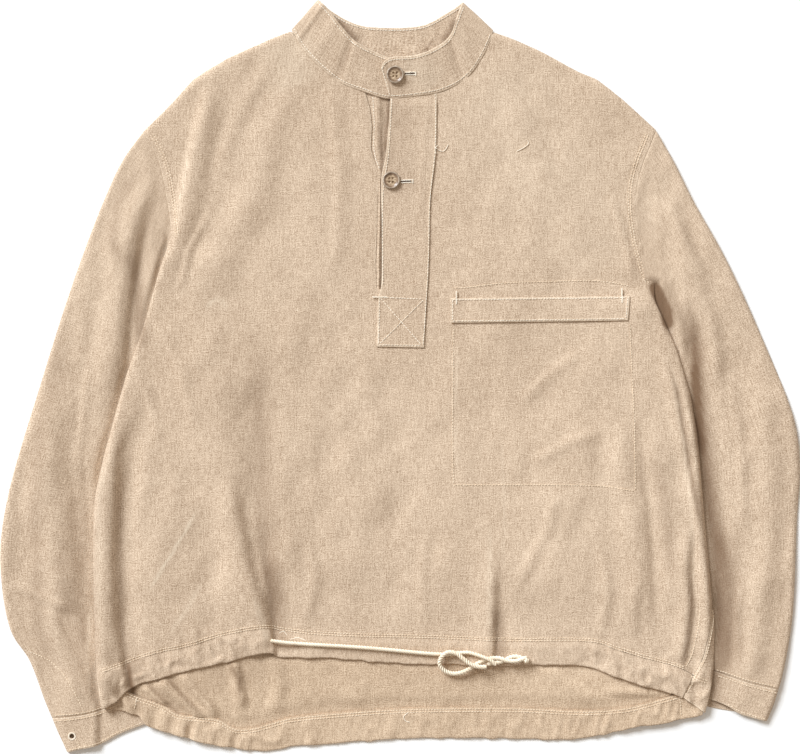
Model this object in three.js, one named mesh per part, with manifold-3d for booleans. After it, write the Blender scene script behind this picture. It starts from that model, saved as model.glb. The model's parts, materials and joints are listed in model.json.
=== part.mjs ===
import * as THREE from 'three';
import { mergeVertices } from 'three/addons/utils/BufferGeometryUtils.js';
import Module from 'manifold-3d';

// A linen pull-over smock laid flat on its back, in millimetres.
// x runs to the viewer's right, y towards the collar, z up from the surface that it lies on.

const wasm = await Module();
wasm.setup();

// Driving dimensions
const CLOTH = 1.2;
const SEAM = 0.5;
const ARMHOLE_SEAM = 0.8;
const LAYER_GAP = 0.3;
const LAYER = CLOTH + LAYER_GAP;
const BACK_Z = CLOTH / 2;
const FRONT_Z = 4.6;
const SLEEVE_Z = 4.9;
const TUCKED_Z = 2.5;
const LIFT = 3.5;
const LIFT_REACH = 90;
const LIFT_RUN_IN = 60;
const LIFT_RUN_DOWN = 26;
const HEM_RISE = 1.7;
const TAIL_START_Y = -292;
const TAIL_OVERLAP_X = 225;
const TAIL_RUN_DOWN = 14;
const TAIL_RUN_OUT = 25;
const SIDE_EDGE_Z = 1.86;
const ROLL_RUN = 40;
const SHOULDER_COSINE = 0.87;
const PRESSED_BESIDE = 14;
const SLEEVE_RUN = 24;
const BAG_GAP = 0.5;
const WELT_GAP = 0.4;
const WRAP_LIP = 4;
const WRAP_FREE_Y = -314;
const WRAP_FREE_RUN = 8;
const WRAP_RISE = 0.2;
const ROLL_RADIUS = 9;
const SHOULDER_RADIUS = 7;
const SLEEVE_RADIUS = 8;
const TURN_RADIUS = 3;
const SLEEVE_WIDTH = 185;
const CUFF_WIDTH = 118;
const SLEEVE_LENGTH = 600;
const CUFF_HEIGHT = 35;
const CASING_SPREAD = 0.9;
const COLLAR_CLOTH = 2;
const CORD_RADIUS = 2;
const CORD_SIDES = 8;
const CORD_STEP = 8.4;
const BUTTON_RADIUS = 9;
const BUTTON_HOLE_RADIUS = 0.8;
const BUTTON_HOLE_PLACE = 1.5;
const BUTTON_SEGMENTS = 20;
const SLIT_DEPTH = 30;

// Colours
const LINEN = 0xcdb294;
const LINEN_SHADE = 0xc2a687;
const CREAM = 0xf0e1c8;
const HORN = 0x8f7c6b;

// Outlines seen from above, each row x, y
const ARMHOLE_LEFT = [[-265, 251], [-255, 236], [-247, 218], [-240, 185], [-236, 158], [-235, 143]];
const ARMHOLE_RIGHT = [[263, 254], [257, 238], [250, 221], [244, 198], [243, 172], [247, 142], [254, 116],
  [262, 95]];
const SIDE_LEFT = [[-235, 143], [-247, 109], [-264, 49], [-281, 1], [-302, -75], [-313, -123], [-315, -190],
  [-313, -250], [-311, -305]];
const SIDE_RIGHT = [[262, 95], [262, 79], [269, 62], [284, 28], [297, -15], [305, -58], [311, -129],
  [319, -220], [319.5, -236]];
const BACK_SIDE_RIGHT = [...SIDE_RIGHT.slice(0, -1), [322, -262], [322, -299], [319, -316]];
const SEAM_RIGHT = [[319.5, -236], [318.5, -252], [315, -271], [310, -290], [302, -306]];
const WRAP_EDGE = [[322, -239], [323, -262], [322, -299], [318, -325], [313, -345]];
const WRAP_SEAM = [[320.6, -239], [319.4, -252], [316, -271], [311, -290], [303, -306], [297.5, -317],
  [291, -329]];
const WRAP_HEM = [[291, -329], [302, -337], [313, -345]];
const SHOULDER_LEFT = [[-265, 251], [-231, 285], [-212, 306], [-178, 327], [-134, 347], [-112, 355.5]];
const SHOULDER_RIGHT = [[96, 354.5], [117, 347], [144, 335], [185, 313], [202, 306], [229, 285],
  [263, 254]];
const NECK_FRONT = [[-112, 355.5], [-98, 338.5], [-79, 319], [-59.5, 303], [-36, 295.5], [-9, 288.5],
  [15, 290.5], [43, 296], [65, 307], [80, 324], [90, 341], [96, 354.5]];
const NECK_BACK = [[-112, 355.5], [-86, 344], [-58, 332], [-20, 321.5], [25, 321.5], [58, 334],
  [82, 347], [96, 354.5]];
const FRONT_CASING_TOP = [[-311, -305], [-285, -296], [-247, -283], [-222, -278], [-178, -265],
  [-139, -258],
  [-123, -261], [-72, -266], [31, -269], [114, -272], [200, -273], [222, -280], [248, -288], [285, -298],
  [301, -306]];
const FRONT_HEM = [[-306, -340], [-290, -331], [-277, -319], [-229, -303], [-175, -291], [-149, -285],
  [-131, -283], [-126, -286], [-72, -288], [0, -293], [103, -295], [190, -296], [210, -302], [237, -312],
  [263, -319], [280, -324], [290, -329]];
const BACK_CASING_TOP = [[-311, -305], [-290, -318], [-271, -327], [-242, -338], [-228, -346], [-206, -349],
  [-186, -352], [-170, -361], [-153, -361], [-137, -357], [-116, -351], [-72, -346], [0, -341], [124, -340],
  [190, -343], [235, -339], [266, -331], [290, -324], [319, -316]];
const BACK_HEM = [[-305, -339], [-288, -342], [-269, -347], [-261, -356], [-247, -362], [-219, -370],
  [-192, -377], [-165, -381], [-137, -383], [-109, -379], [-72, -376], [0, -371], [41, -370], [124, -371],
  [185, -371], [216, -365], [247, -358], [268, -355], [311, -346]];
const SLIT = [[-41, 310], [-31, 276], [-29, 258], [-30, 235], [-22, 207], [-25, 120], [-24, 86], [22, 86],
  [24, 120], [27, 200], [31, 250], [34, 310]];

// Sleeves and cuffs: each row x, y, from the shoulder down and from the outer side in
const CUFF_LEFT_HEM = [[-342, -386], [-330, -383], [-309, -378], [-288, -367], [-260, -356],
  [-238, -346]];
const SLEEVE_LEFT = {
  outer: [[-265, 251], [-284, 224], [-304, 182], [-335, 100], [-368, -3], [-404, -127], [-411, -188],
    [-400, -261], [-381, -291], [-365, -333], [-357.5, -351]],
  inner: [[-236, 142], [-245, 126], [-252, 108], [-247, 84], [-222, 44], [-205, -20], [-199, -90],
    [-203, -160], [-212, -230], [-228, -285], [-243, -318]],
  cuffSeam: [[-357.5, -351], [-324, -347], [-306, -342], [-286, -334], [-243, -318]],
};
const CUFF_LEFT = {
  outer: [[-357.5, -351], [-350, -369], [-342, -386]],
  inner: [[-243, -318], [-240, -332], [-238, -346]],
  hemUpper: CUFF_LEFT_HEM,
  hemLower: CUFF_LEFT_HEM,
};
const SLEEVE_RIGHT = {
  outer: [[263, 254], [280, 224], [301, 182], [335, 121], [373, 38], [405, -44], [411, -90], [408, -147],
    [403, -250], [393, -307], [389, -321]],
  inner: [[263, 94], [272, 83], [280, 70], [278, 56], [262, 34], [234, 0], [214, -40], [205, -100],
    [208, -160], [222, -220], [252, -265], [274, -288]],
  cuffSeam: [[389, -321], [362, -315], [340, -308], [322, -302], [274, -288]],
};
const CUFF_RIGHT = {
  outer: [[389, -321], [384, -337], [377, -354]],
  inner: [[274, -288], [270, -303], [268, -318]],
  hemUpper: [[377, -354], [362, -350], [349, -346], [336, -338], [317, -331], [268, -318]],
  hemLower: [[377, -354], [362, -351], [348, -348], [330, -347], [313, -345], [268, -330]],
};

// Folds of the cloth: middle line, half width, height of the ridge (or depth, below zero)
const BODY_FOLDS = [
  { name: 'left roll', line: [[-292, -60], [-302, -130], [-302, -290]], width: 15, height: 5.5 },
  { name: 'beside the left roll', line: [[-268, -50], [-284, -150], [-280, -305]], width: 13,
    height: -1.8 },
  { name: 'right roll', line: [[284, 0], [300, -100], [309, -200], [308, -300]], width: 12, height: 3.5 },
  { name: 'right pleat', line: [[279, 10], [288, -55], [298, -140], [297, -233], [290, -312]], width: 9,
    height: -2 },
  { name: 'long hollow', line: [[-158, 10], [-165, -100], [-164, -200]], width: 34, height: -2 },
  { name: 'hem crease', line: [[-152, -205], [-143, -240], [-138, -290]], width: 10, height: 3 },
  { name: 'left belly', line: [[-200, -120], [-228, -170], [-262, -225]], width: 20, height: 3 },
  { name: 'centre crease', line: [[84, -100], [84, -200], [84, -250]], width: 12, height: 2.2 },
  { name: 'right belly', line: [[222, -60], [232, -150], [228, -250]], width: 22, height: 2.6 },
  { name: 'beside the right belly', line: [[254, -30], [262, -116], [265, -240]], width: 12, height: -1.8 },
  { name: 'left shoulder', line: [[-212, 270], [-222, 195], [-224, 150]], width: 16, height: 2.6 },
  { name: 'left chest', line: [[-120, 300], [-150, 180], [-215, 80]], width: 26, height: 2.2 },
  { name: 'right chest', line: [[110, 300], [150, 200], [200, 130]], width: 26, height: 2.2 },
  { name: 'middle belly', line: [[-60, -20], [-40, -120], [-56, -220]], width: 40, height: 2 },
];
const SLEEVE_FOLDS = [
  { name: 'left upper', line: [[-262, 190], [-296, 90], [-320, -10]], width: 20, height: 2 },
  { name: 'left hollow', line: [[-274, 150], [-285, 50], [-291, -20]], width: 10, height: -1.4 },
  { name: 'left forearm', line: [[-376, -60], [-382, -160], [-352, -250]], width: 20, height: 2.2 },
  { name: 'left wrist', line: [[-340, -190], [-326, -270], [-316, -335]], width: 14, height: 2 },
  { name: 'right upper', line: [[262, 190], [292, 100], [318, 20]], width: 18, height: 2.4 },
  { name: 'right forearm', line: [[362, -20], [372, -120], [366, -220]], width: 24, height: 2.2 },
  { name: 'right wrist', line: [[345, -150], [350, -240], [352, -305]], width: 16, height: 1.8 },
  { name: 'right hollow', line: [[330, -10], [338, -120], [336, -250]], width: 12, height: -1.4 },
];

// Collar sections from the lower end at the centre front, round the neck and back over itself.
// Each row: x, y, z at the neck seam, then x, y, z at the free edge
const COLLAR_ROWS = [
  [14, 291.5, 4.5, 12, 328, 6.8],
  [-12, 290, 4.5, -8, 327.5, 6.8],
  [-36, 297, 5, -28, 335, 7.8],
  [-59, 305.7, 5.4, -46, 345, 8.6],
  [-79, 320.8, 5.6, -60, 360, 8.8],
  [-97.5, 340.2, 5.4, -73, 377, 8.2],
  [-106, 352.5, 4.8, -81, 385, 6.8],
  [-109.5, 358.5, 3.3, -83.5, 387.5, 4.4],
  [-106.5, 357.5, 1.8, -81.5, 386, 2.1],
  [-97, 352, 1.5, -74, 379, 1.6],
  [-60, 335, 1.4, -45, 363, 1.5],
  [-20, 324.5, 1.4, -15, 359.5, 1.5],
  [25, 324.5, 1.4, 24, 362, 1.5],
  [60, 337, 1.4, 44, 372, 1.5],
  [80, 348.5, 1.5, 57, 380, 1.6],
  [91, 356, 1.8, 62.5, 384, 2.1],
  [93.5, 357.5, 3.3, 64, 385, 4.6],
  [92, 349.5, 5, 62, 380, 7.2],
  [83.5, 332.5, 6, 57, 366, 8.8],
  [66, 310, 6.6, 51, 350, 9.4],
  [43, 297.5, 7, 36, 338, 9.7],
  [15, 292.5, 7.2, 15, 330, 9.8],
  [-6, 290.5, 7.2, -5, 327.5, 9.8],
  [-14, 292.5, 7.2, -15, 324, 9.6],
  [-17, 297, 7.2, -18.5, 316, 9.2],
];

// Strips sewn on the front: each row x, y along one long edge, then x, y along the other
const PLACKET_OVER_ROWS = [
  [-24, 31, 25, 30],
  [-22, 83, 27, 77],
  [-19.5, 92, 29, 97],
  [-19, 180, 31, 180],
  [-13.5, 228, 37, 229],
  [-11, 266, 38, 268],
  [-9, 287.5, 38.5, 294],
];
const PLACKET_UNDER_ROWS = [
  [-34, 88, 16, 88],
  [-34, 120, 17, 120],
  [-33, 200, 18, 200],
  [-39, 240, 22, 240],
  [-40, 270, 24, 270],
  [-43, 291, 27, 286],
];
const WELT_ROWS = [[52, 81, 52, 55.5], [110, 81.5, 110, 56.3], [170, 82.3, 170, 57], [236, 83, 234, 58]];
const BAG_ROWS = [[55, 91, 56, -111], [104, 95, 104, -111.5], [154, 98, 150, -112], [206, 98, 200, -112],
  [236, 92, 241, -117]];

const BUTTONS = [
  { name: 'button_collar', x: -5, y: 310, z: 11.5, tilt: 0.07 },
  { name: 'button_placket', x: -9, y: 202, z: 8.6, tilt: 0 },
];

// Drawstring routes, each row x, y, z
const CORD_LEFT = [[-133, -270.5, 9.4], [-118, -272.5, 8.9], [-100, -274, 8.5], [-78, -275.3, 8.5],
  [-55, -276.6, 8.5], [-30, -278.4, 8.5], [-5, -280.6, 8.5], [18, -282.9, 8.5], [38, -284.4, 8.5],
  [50, -284.6, 8.5], [61, -283.2, 8.8], [70, -282.6, 10], [79, -284.8, 12], [87, -287.6, 13.2],
  [93.5, -290.8, 13.2], [98.5, -295, 12.6]];
const CORD_RIGHT = [[131, -286.3, 8.5], [121, -286.6, 8.5], [111, -287, 8.5], [101, -287.8, 8.5],
  [93, -289, 8.5], [85, -291.4, 8.5], [78, -295, 8.5], [71, -299.6, 8.6], [63, -303.4, 8.2],
  [54, -304.4, 8.2], [45.5, -301.2, 8.8], [40.6, -294.4, 10.2], [42.4, -287, 12], [49, -282, 13],
  [57.4, -283.2, 13.2], [64.4, -288.4, 13.2], [71, -293.4, 13.2], [79.6, -296.6, 13.2], [89, -297.2, 12.4]];
const CORD_END = [[89.6, -294.9, 9.4], [94, -293, 8.8], [101, -292.2, 8.5], [109, -291.4, 8.5],
  [117, -291, 8.5], [124, -290.9, 8.5], [129, -290.7, 8.5]];

// A smooth curve through the rows, read by the share of its length from 0 to 1
function curve(rows) {
  const points = rows.map(([x, y, z = 0]) => new THREE.Vector3(x, y, z));
  const path = new THREE.CatmullRomCurve3(points, false, 'centripetal');
  path.arcLengthDivisions = 40 * rows.length;
  return (share) => path.getPointAt(THREE.MathUtils.clamp(share, 0, 1)).toArray();
}

// Curves one after another; breaks holds the shares where each one ends
function chain(curves, breaks) {
  return (share) => {
    const index = Math.max(0, breaks.findIndex((end) => share <= end + 1e-9));
    const start = index === 0 ? 0 : breaks[index - 1];
    return curves[index]((share - start) / (breaks[index] - start));
  };
}

// The blend of four edges over a patch; across runs from left to right, up from bottom to top
function patch({ bottom, top, left, right }) {
  const corners = [bottom(0), bottom(1), top(0), top(1)];
  return (across, up) => [0, 1].map((axis) => {
    const rows = (1 - up) * bottom(across)[axis] + up * top(across)[axis];
    const columns = (1 - across) * left(up)[axis] + across * right(up)[axis];
    const lower = (1 - across) * corners[0][axis] + across * corners[1][axis];
    const upper = (1 - across) * corners[2][axis] + across * corners[3][axis];
    return rows + columns - (1 - up) * lower - up * upper;
  });
}

// x of an outline at a height y, with straight lines between its rows
function outlineX(rows, y) {
  const down = rows[0][1] > rows[rows.length - 1][1];
  const sorted = down ? [...rows].reverse() : rows;
  if (y <= sorted[0][1]) return sorted[0][0];
  for (let index = 1; index < sorted.length; index += 1) {
    const [x0, y0] = sorted[index - 1];
    const [x1, y1] = sorted[index];
    if (y <= y1) return x0 + (x1 - x0) * (y - y0) / (y1 - y0);
  }
  return sorted[sorted.length - 1][0];
}

// y of an outline at a place x
function outlineY(rows, x) {
  return outlineX(rows.map(([a, b]) => [b, a]), x);
}

function smooth(value) {
  const t = THREE.MathUtils.clamp(value, 0, 1);
  return t * t * (3 - 2 * t);
}

// A quarter round that climbs from 0 at the edge to 1 at the radius
function roundEdge(distance, radius) {
  const rest = 1 - THREE.MathUtils.clamp(distance / radius, 0, 1);
  return Math.sqrt(1 - rest * rest);
}

// Height of all folds at a place: a rounded ridge across its line, fading at its two ends
function foldHeight(folds, x, y) {
  let sum = 0;
  for (const { line, width, height } of folds) {
    let nearest = Infinity;
    let along = 0;
    for (let index = 1; index < line.length; index += 1) {
      const [x0, y0] = line[index - 1];
      const [dx, dy] = [line[index][0] - x0, line[index][1] - y0];
      const share = ((x - x0) * dx + (y - y0) * dy) / (dx * dx + dy * dy);
      const held = THREE.MathUtils.clamp(share, 0, 1);
      const distance = Math.hypot(x - x0 - held * dx, y - y0 - held * dy);
      if (distance < nearest) {
        nearest = distance;
        along = (index - 1 + held) / (line.length - 1);
      }
    }
    const across = smooth(1 - nearest / width);
    sum += height * across * smooth(4 * Math.min(along, 1 - along) + 0.25);
  }
  return sum;
}

const OUTLINE_LEFT = [...SIDE_LEFT, [-310, -325], [-306, -340]];
const OUTLINE_RIGHT = [...SIDE_RIGHT.slice(0, -1), ...WRAP_EDGE.slice(1)];
const UNDERARM_LEFT = ARMHOLE_LEFT[ARMHOLE_LEFT.length - 1][1];
const UNDERARM_RIGHT = ARMHOLE_RIGHT[ARMHOLE_RIGHT.length - 1][1];

const TUCKED_LEFT = [...SLEEVE_LEFT.inner, ...CUFF_LEFT.inner.slice(1)];
const TUCKED_RIGHT = [...SLEEVE_RIGHT.inner, ...CUFF_RIGHT.inner.slice(1)];

// Distance inside the body's outline on either side, below the underarm
function insideBody(x, y) {
  return Math.min(x - outlineX(OUTLINE_LEFT, y), outlineX(OUTLINE_RIGHT, y) - x);
}

// How far the body is raised by the sleeve that lies under its side
function sleeveLift(x, y) {
  const underarm = x < 0 ? UNDERARM_LEFT : UNDERARM_RIGHT;
  const tucked = outlineX(x < 0 ? TUCKED_LEFT : TUCKED_RIGHT, y);
  const past = x < 0 ? x - tucked : tucked - x;
  return LIFT * smooth((underarm - y) / LIFT_RUN_DOWN) * smooth((LIFT_REACH - past) / LIFT_RUN_IN);
}

function backHeight(x, y) {
  return BACK_Z + sleeveLift(x, y);
}

// The front's middle surface: raised over the back, rounded down at its sides and shoulders
function frontHeight(x, y) {
  const lift = sleeveLift(x, y);
  const shoulder = x < 0 ? SHOULDER_LEFT : SHOULDER_RIGHT;
  const underarm = x < 0 ? UNDERARM_LEFT : UNDERARM_RIGHT;
  const pastStart = smooth((TAIL_START_Y - y) / TAIL_RUN_DOWN);
  const overTail = pastStart * smooth((Math.abs(x) - TAIL_OVERLAP_X) / TAIL_RUN_OUT);
  const free = FRONT_Z + lift + foldHeight(BODY_FOLDS, x, y) + HEM_RISE * overTail;
  const edge = SIDE_EDGE_Z + lift + 2 * HEM_RISE * overTail;
  const sideShare = smooth((underarm - y) / ROLL_RUN);
  const side = 1 - sideShare * (1 - roundEdge(insideBody(x, y), ROLL_RADIUS));
  const overNeck = x > NECK_FRONT[0][0] && x < NECK_FRONT[NECK_FRONT.length - 1][0];
  const top = overNeck ? 1 : roundEdge((outlineY(shoulder, x) - y) * SHOULDER_COSINE, SHOULDER_RADIUS);
  return edge + (free - edge) * Math.min(side, top);
}

// The sleeve's upper surface: full beside the body and pressed flat under it
function sleeveHeight(x, y) {
  const out = -insideBody(x, y);
  const underarm = x < 0 ? UNDERARM_LEFT : UNDERARM_RIGHT;
  const beside = smooth((out - PRESSED_BESIDE) / SLEEVE_RUN);
  const free = Math.max(beside, smooth((y - underarm + PRESSED_BESIDE) / SLEEVE_RUN));
  return TUCKED_Z + (SLEEVE_Z - TUCKED_Z + foldHeight(SLEEVE_FOLDS, x, y)) * free;
}

// A grid of points, one row for each share in ups
function grid(acrosses, ups, place) {
  return ups.map((up) => acrosses.map((across) => new THREE.Vector3(...place(across, up))));
}

// Even shares from start to end, with both ends
function spread(start, end, count) {
  return Array.from({ length: count + 1 }, (_, index) => start + (end - start) * index / count);
}

function sortedShares(...lists) {
  const all = lists.flat().sort((a, b) => a - b);
  return all.filter((share, index) => index === 0 || share - all[index - 1] > 1e-6);
}

// Unit normals of a grid of points; closed grids join their last column to the first
function gridNormals(points, closed = false) {
  const [rows, columns] = [points.length, points[0].length];
  const wrap = (index) => (index + columns) % columns;
  return points.map((row, r) => row.map((_, c) => {
    const up = points[Math.min(r + 1, rows - 1)][c].clone().sub(points[Math.max(r - 1, 0)][c]);
    const next = closed ? wrap(c + 1) : Math.min(c + 1, columns - 1);
    const last = closed ? wrap(c - 1) : Math.max(c - 1, 0);
    const across = row[next].clone().sub(row[last]);
    return across.cross(up).normalize();
  }));
}

function offsetGrid(points, normals, distance) {
  const moved = (point, r, c) => point.clone().addScaledVector(normals[r][c], distance);
  return points.map((row, r) => row.map((point, c) => moved(point, r, c)));
}

// A closed wall: the grid's surface moved out and in by half the thickness, with rims at open edges
function wall(points, thickness, closed = false) {
  const [rows, columns] = [points.length, points[0].length];
  const normals = gridNormals(points, closed);
  const skins = [offsetGrid(points, normals, thickness / 2), offsetGrid(points, normals, -thickness / 2)];
  const positions = skins.flat(2).flatMap((point) => point.toArray());
  const at = (skin, r, c) => (skin * rows + r) * columns + (c % columns);
  const index = [];
  const quad = (a, b, c, d) => index.push(a, b, c, a, c, d);
  const lastColumn = closed ? columns : columns - 1;
  for (let r = 0; r < rows - 1; r += 1) {
    for (let c = 0; c < lastColumn; c += 1) {
      quad(at(0, r, c), at(0, r, c + 1), at(0, r + 1, c + 1), at(0, r + 1, c));
      quad(at(1, r, c), at(1, r + 1, c), at(1, r + 1, c + 1), at(1, r, c + 1));
    }
  }
  for (let c = 0; c < lastColumn; c += 1) {
    quad(at(0, 0, c), at(1, 0, c), at(1, 0, c + 1), at(0, 0, c + 1));
    quad(at(0, rows - 1, c), at(0, rows - 1, c + 1), at(1, rows - 1, c + 1), at(1, rows - 1, c));
  }
  if (!closed) {
    for (let r = 0; r < rows - 1; r += 1) {
      quad(at(0, r, 0), at(0, r + 1, 0), at(1, r + 1, 0), at(1, r, 0));
      const last = columns - 1;
      quad(at(0, r, last), at(1, r, last), at(1, r + 1, last), at(0, r + 1, last));
    }
  }
  const geometry = new THREE.BufferGeometry();
  geometry.setAttribute('position', new THREE.Float32BufferAttribute(positions, 3));
  geometry.setIndex(index);
  return facingOut(geometry);
}

// Turns every face over where the enclosed volume comes out negative
function facingOut(geometry) {
  const position = geometry.getAttribute('position');
  const index = geometry.getIndex();
  const [a, b, c] = [new THREE.Vector3(), new THREE.Vector3(), new THREE.Vector3()];
  let volume = 0;
  for (let face = 0; face < index.count; face += 3) {
    a.fromBufferAttribute(position, index.getX(face));
    b.fromBufferAttribute(position, index.getX(face + 1));
    c.fromBufferAttribute(position, index.getX(face + 2));
    volume += a.dot(b.cross(c));
  }
  if (volume < 0) geometry.setIndex(Array.from(index.array).reverse());
  return geometry;
}

// Sharing points by place, as the boolean library needs
function toSolid(geometry) {
  const bare = geometry.clone();
  bare.deleteAttribute('normal');
  bare.deleteAttribute('uv');
  const merged = mergeVertices(bare, 1e-5);
  const mesh = new wasm.Mesh({
    numProp: 3,
    vertProperties: new Float32Array(merged.getAttribute('position').array),
    triVerts: new Uint32Array(merged.getIndex().array),
  });
  return new wasm.Manifold(mesh);
}

function toGeometry(solid) {
  const mesh = solid.getMesh();
  const geometry = new THREE.BufferGeometry();
  geometry.setAttribute('position', new THREE.BufferAttribute(new Float32Array(mesh.vertProperties), 3));
  geometry.setIndex(Array.from(mesh.triVerts));
  return geometry;
}

// Shares that crowd towards both ends: distances from the edge over the whole width
function edgeShares(width, distances) {
  const near = distances.map((distance) => distance / width);
  return [...near, ...near.map((share) => 1 - share)];
}

const SIDE_STEPS = [0, 1, 3.4, 7.5, 14, 24];
const NECK_BREAKS = [0.3, 0.68];
const UNDERARM_LEFT_UP = 0.79;
const UNDERARM_RIGHT_UP = 0.72;
const WRAP_UP = 0.13;
const BODY_WIDTH = 600;
const BODY_HEIGHT = 600;

const FRONT_COLUMNS = sortedShares(edgeShares(BODY_WIDTH, SIDE_STEPS), spread(0.075, NECK_BREAKS[0], 5),
  spread(...NECK_BREAKS, 9), spread(NECK_BREAKS[1], 0.925, 5));
const BACK_COLUMNS = sortedShares(edgeShares(BODY_WIDTH, [0, 14]), spread(0.06, NECK_BREAKS[0], 6),
  spread(...NECK_BREAKS, 5), spread(NECK_BREAKS[1], 0.94, 6));
const UNDERARM_ROWS = [0.62, 0.65, 0.68, 0.7, UNDERARM_RIGHT_UP, 0.74, 0.755, 0.77, UNDERARM_LEFT_UP];

function frontGeometry() {
  const place = patch({
    bottom: curve(FRONT_CASING_TOP),
    top: chain([curve(SHOULDER_LEFT), curve(NECK_FRONT), curve(SHOULDER_RIGHT)], [...NECK_BREAKS, 1]),
    left: chain([curve([...SIDE_LEFT].reverse()), curve([...ARMHOLE_LEFT].reverse())],
      [UNDERARM_LEFT_UP, 1]),
    right: chain([curve([...SEAM_RIGHT].reverse()), curve([...SIDE_RIGHT].reverse()),
      curve([...ARMHOLE_RIGHT].reverse())], [WRAP_UP, UNDERARM_RIGHT_UP, 1]),
  });
  const nearTop = [1 - 1.4 / BODY_HEIGHT, 1 - 6 / BODY_HEIGHT];
  const ups = sortedShares([0], spread(0.03, 0.13, 2), spread(0.18, 0.58, 8), UNDERARM_ROWS,
    spread(0.82, 0.97, 6), nearTop, [1]);
  const points = grid(FRONT_COLUMNS, ups, (across, up) => {
    const [x, y] = place(across, up);
    return [x, y, frontHeight(x, y)];
  });
  const slit = new THREE.ExtrudeGeometry(outlineShape(SLIT), { depth: SLIT_DEPTH, bevelEnabled: false });
  return toGeometry(toSolid(wall(points, CLOTH)).subtract(toSolid(slit)));
}

function outlineShape(rows) {
  return new THREE.Shape(rows.map(([x, y]) => new THREE.Vector2(x, y)));
}

function backGeometry() {
  const place = patch({
    bottom: curve(BACK_CASING_TOP),
    top: chain([curve(SHOULDER_LEFT), curve(NECK_BACK), curve(SHOULDER_RIGHT)], [...NECK_BREAKS, 1]),
    left: chain([curve([...SIDE_LEFT].reverse()), curve([...ARMHOLE_LEFT].reverse())],
      [UNDERARM_LEFT_UP, 1]),
    right: chain([curve([...BACK_SIDE_RIGHT].reverse()),
      curve([...ARMHOLE_RIGHT].reverse())], [UNDERARM_RIGHT_UP, 1]),
  });
  const ups = sortedShares(spread(0, 0.57, 7), UNDERARM_ROWS, spread(0.82, 1, 7));
  const points = grid(BACK_COLUMNS, ups, (across, up) => {
    const [x, y] = place(across, up);
    return [x, y, backHeight(x, y)];
  });
  return toGeometry(toSolid(wall(points, CLOTH)).add(toSolid(wrapGeometry())));
}

// The strip of the back that comes round the side and over to the seam at the right hem
function wrapGeometry() {
  const place = patch({
    bottom: curve(WRAP_HEM),
    top: curve([WRAP_SEAM[0], WRAP_EDGE[0]]),
    left: curve([...WRAP_SEAM].reverse()),
    right: curve([...WRAP_EDGE].reverse()),
  });
  const points = grid([0, 0.25, 0.5, 0.72, 0.86, 0.95, 1, 2], spread(0, 1, 12), (across, up) => {
    const [x, y] = place(Math.min(across, 1), up);
    const joined = smooth((y - WRAP_FREE_Y) / WRAP_FREE_RUN);
    const edge = backHeight(x, y) + (1 - joined) * 2 * HEM_RISE;
    const full = Math.max(frontHeight(x, y), edge + WRAP_RISE);
    if (across > 1) return [x - WRAP_LIP, y, edge];
    return [x, y, across === 1 ? edge : full];
  });
  return wall(points, CLOTH);
}

// A flattened tube: its upper and lower halves share the two side edges
function flatTube({ upper, lower, width, ups }) {
  const across = sortedShares(edgeShares(SLEEVE_WIDTH, [0, 1.2, 5]), spread(0.075, 0.925, 8));
  const below = sortedShares(edgeShares(SLEEVE_WIDTH, [2]), spread(0.25, 0.75, 2)).reverse();
  const points = ups.map((up) => {
    const ring = [];
    const edgeHeight = (x, y) => BACK_Z + Math.min(1, (sleeveHeight(x, y) - BACK_Z) / 2);
    for (const share of across) {
      const [x, y] = upper(share, up);
      const distance = Math.min(share, 1 - share) * width;
      const start = edgeHeight(x, y);
      const z = start + (sleeveHeight(x, y) - start) * roundEdge(distance, SLEEVE_RADIUS);
      ring.push(new THREE.Vector3(x, y, z));
    }
    for (const share of below) {
      const [x, y] = lower(share, up);
      const distance = Math.min(share, 1 - share) * width;
      const start = edgeHeight(x, y);
      const z = start - (start - BACK_Z) * roundEdge(distance, TURN_RADIUS);
      ring.push(new THREE.Vector3(x, y, z));
    }
    return ring;
  });
  return wall(points, CLOTH, true);
}

function shifted(rows, dx, dy) {
  return rows.map(([x, y]) => [x + dx, y + dy]);
}

function sleeveGeometry(sleeve, armhole, outward) {
  const seam = shifted(armhole, outward * ARMHOLE_SEAM, -ARMHOLE_SEAM / 2);
  const place = patch({
    bottom: curve(sleeve.cuffSeam),
    top: curve(seam),
    left: curve([seam[0], ...sleeve.outer.slice(1)].reverse()),
    right: curve([seam[seam.length - 1], ...sleeve.inner.slice(1)].reverse()),
  });
  return flatTube({
    upper: place,
    lower: place,
    width: SLEEVE_WIDTH,
    ups: spread(SEAM / SLEEVE_LENGTH, 1, 16),
  });
}

function cuffGeometry(cuff, cuffSeam) {
  const sides = { left: curve([...cuff.outer].reverse()), right: curve([...cuff.inner].reverse()) };
  const top = curve(cuffSeam);
  return flatTube({
    upper: patch({ bottom: curve(cuff.hemUpper), top, ...sides }),
    lower: patch({ bottom: curve(cuff.hemLower), top, ...sides }),
    width: CUFF_WIDTH,
    ups: spread(0, 1 - SEAM / CUFF_HEIGHT, 3),
  });
}

function collarGeometry() {
  const seam = new THREE.CatmullRomCurve3(COLLAR_ROWS.map((row) => new THREE.Vector3(...row.slice(0, 3))),
    false, 'centripetal');
  const edge = new THREE.CatmullRomCurve3(COLLAR_ROWS.map((row) => new THREE.Vector3(...row.slice(3))),
    false, 'centripetal');
  const steps = 2 * (COLLAR_ROWS.length - 1);
  const points = grid(spread(0, 1, 3), spread(0, 1, steps), (across, up) => {
    const [low, high] = [seam.getPoint(up), edge.getPoint(up)];
    return low.lerp(high, across).toArray();
  });
  return wall(points, COLLAR_CLOTH);
}

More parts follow.
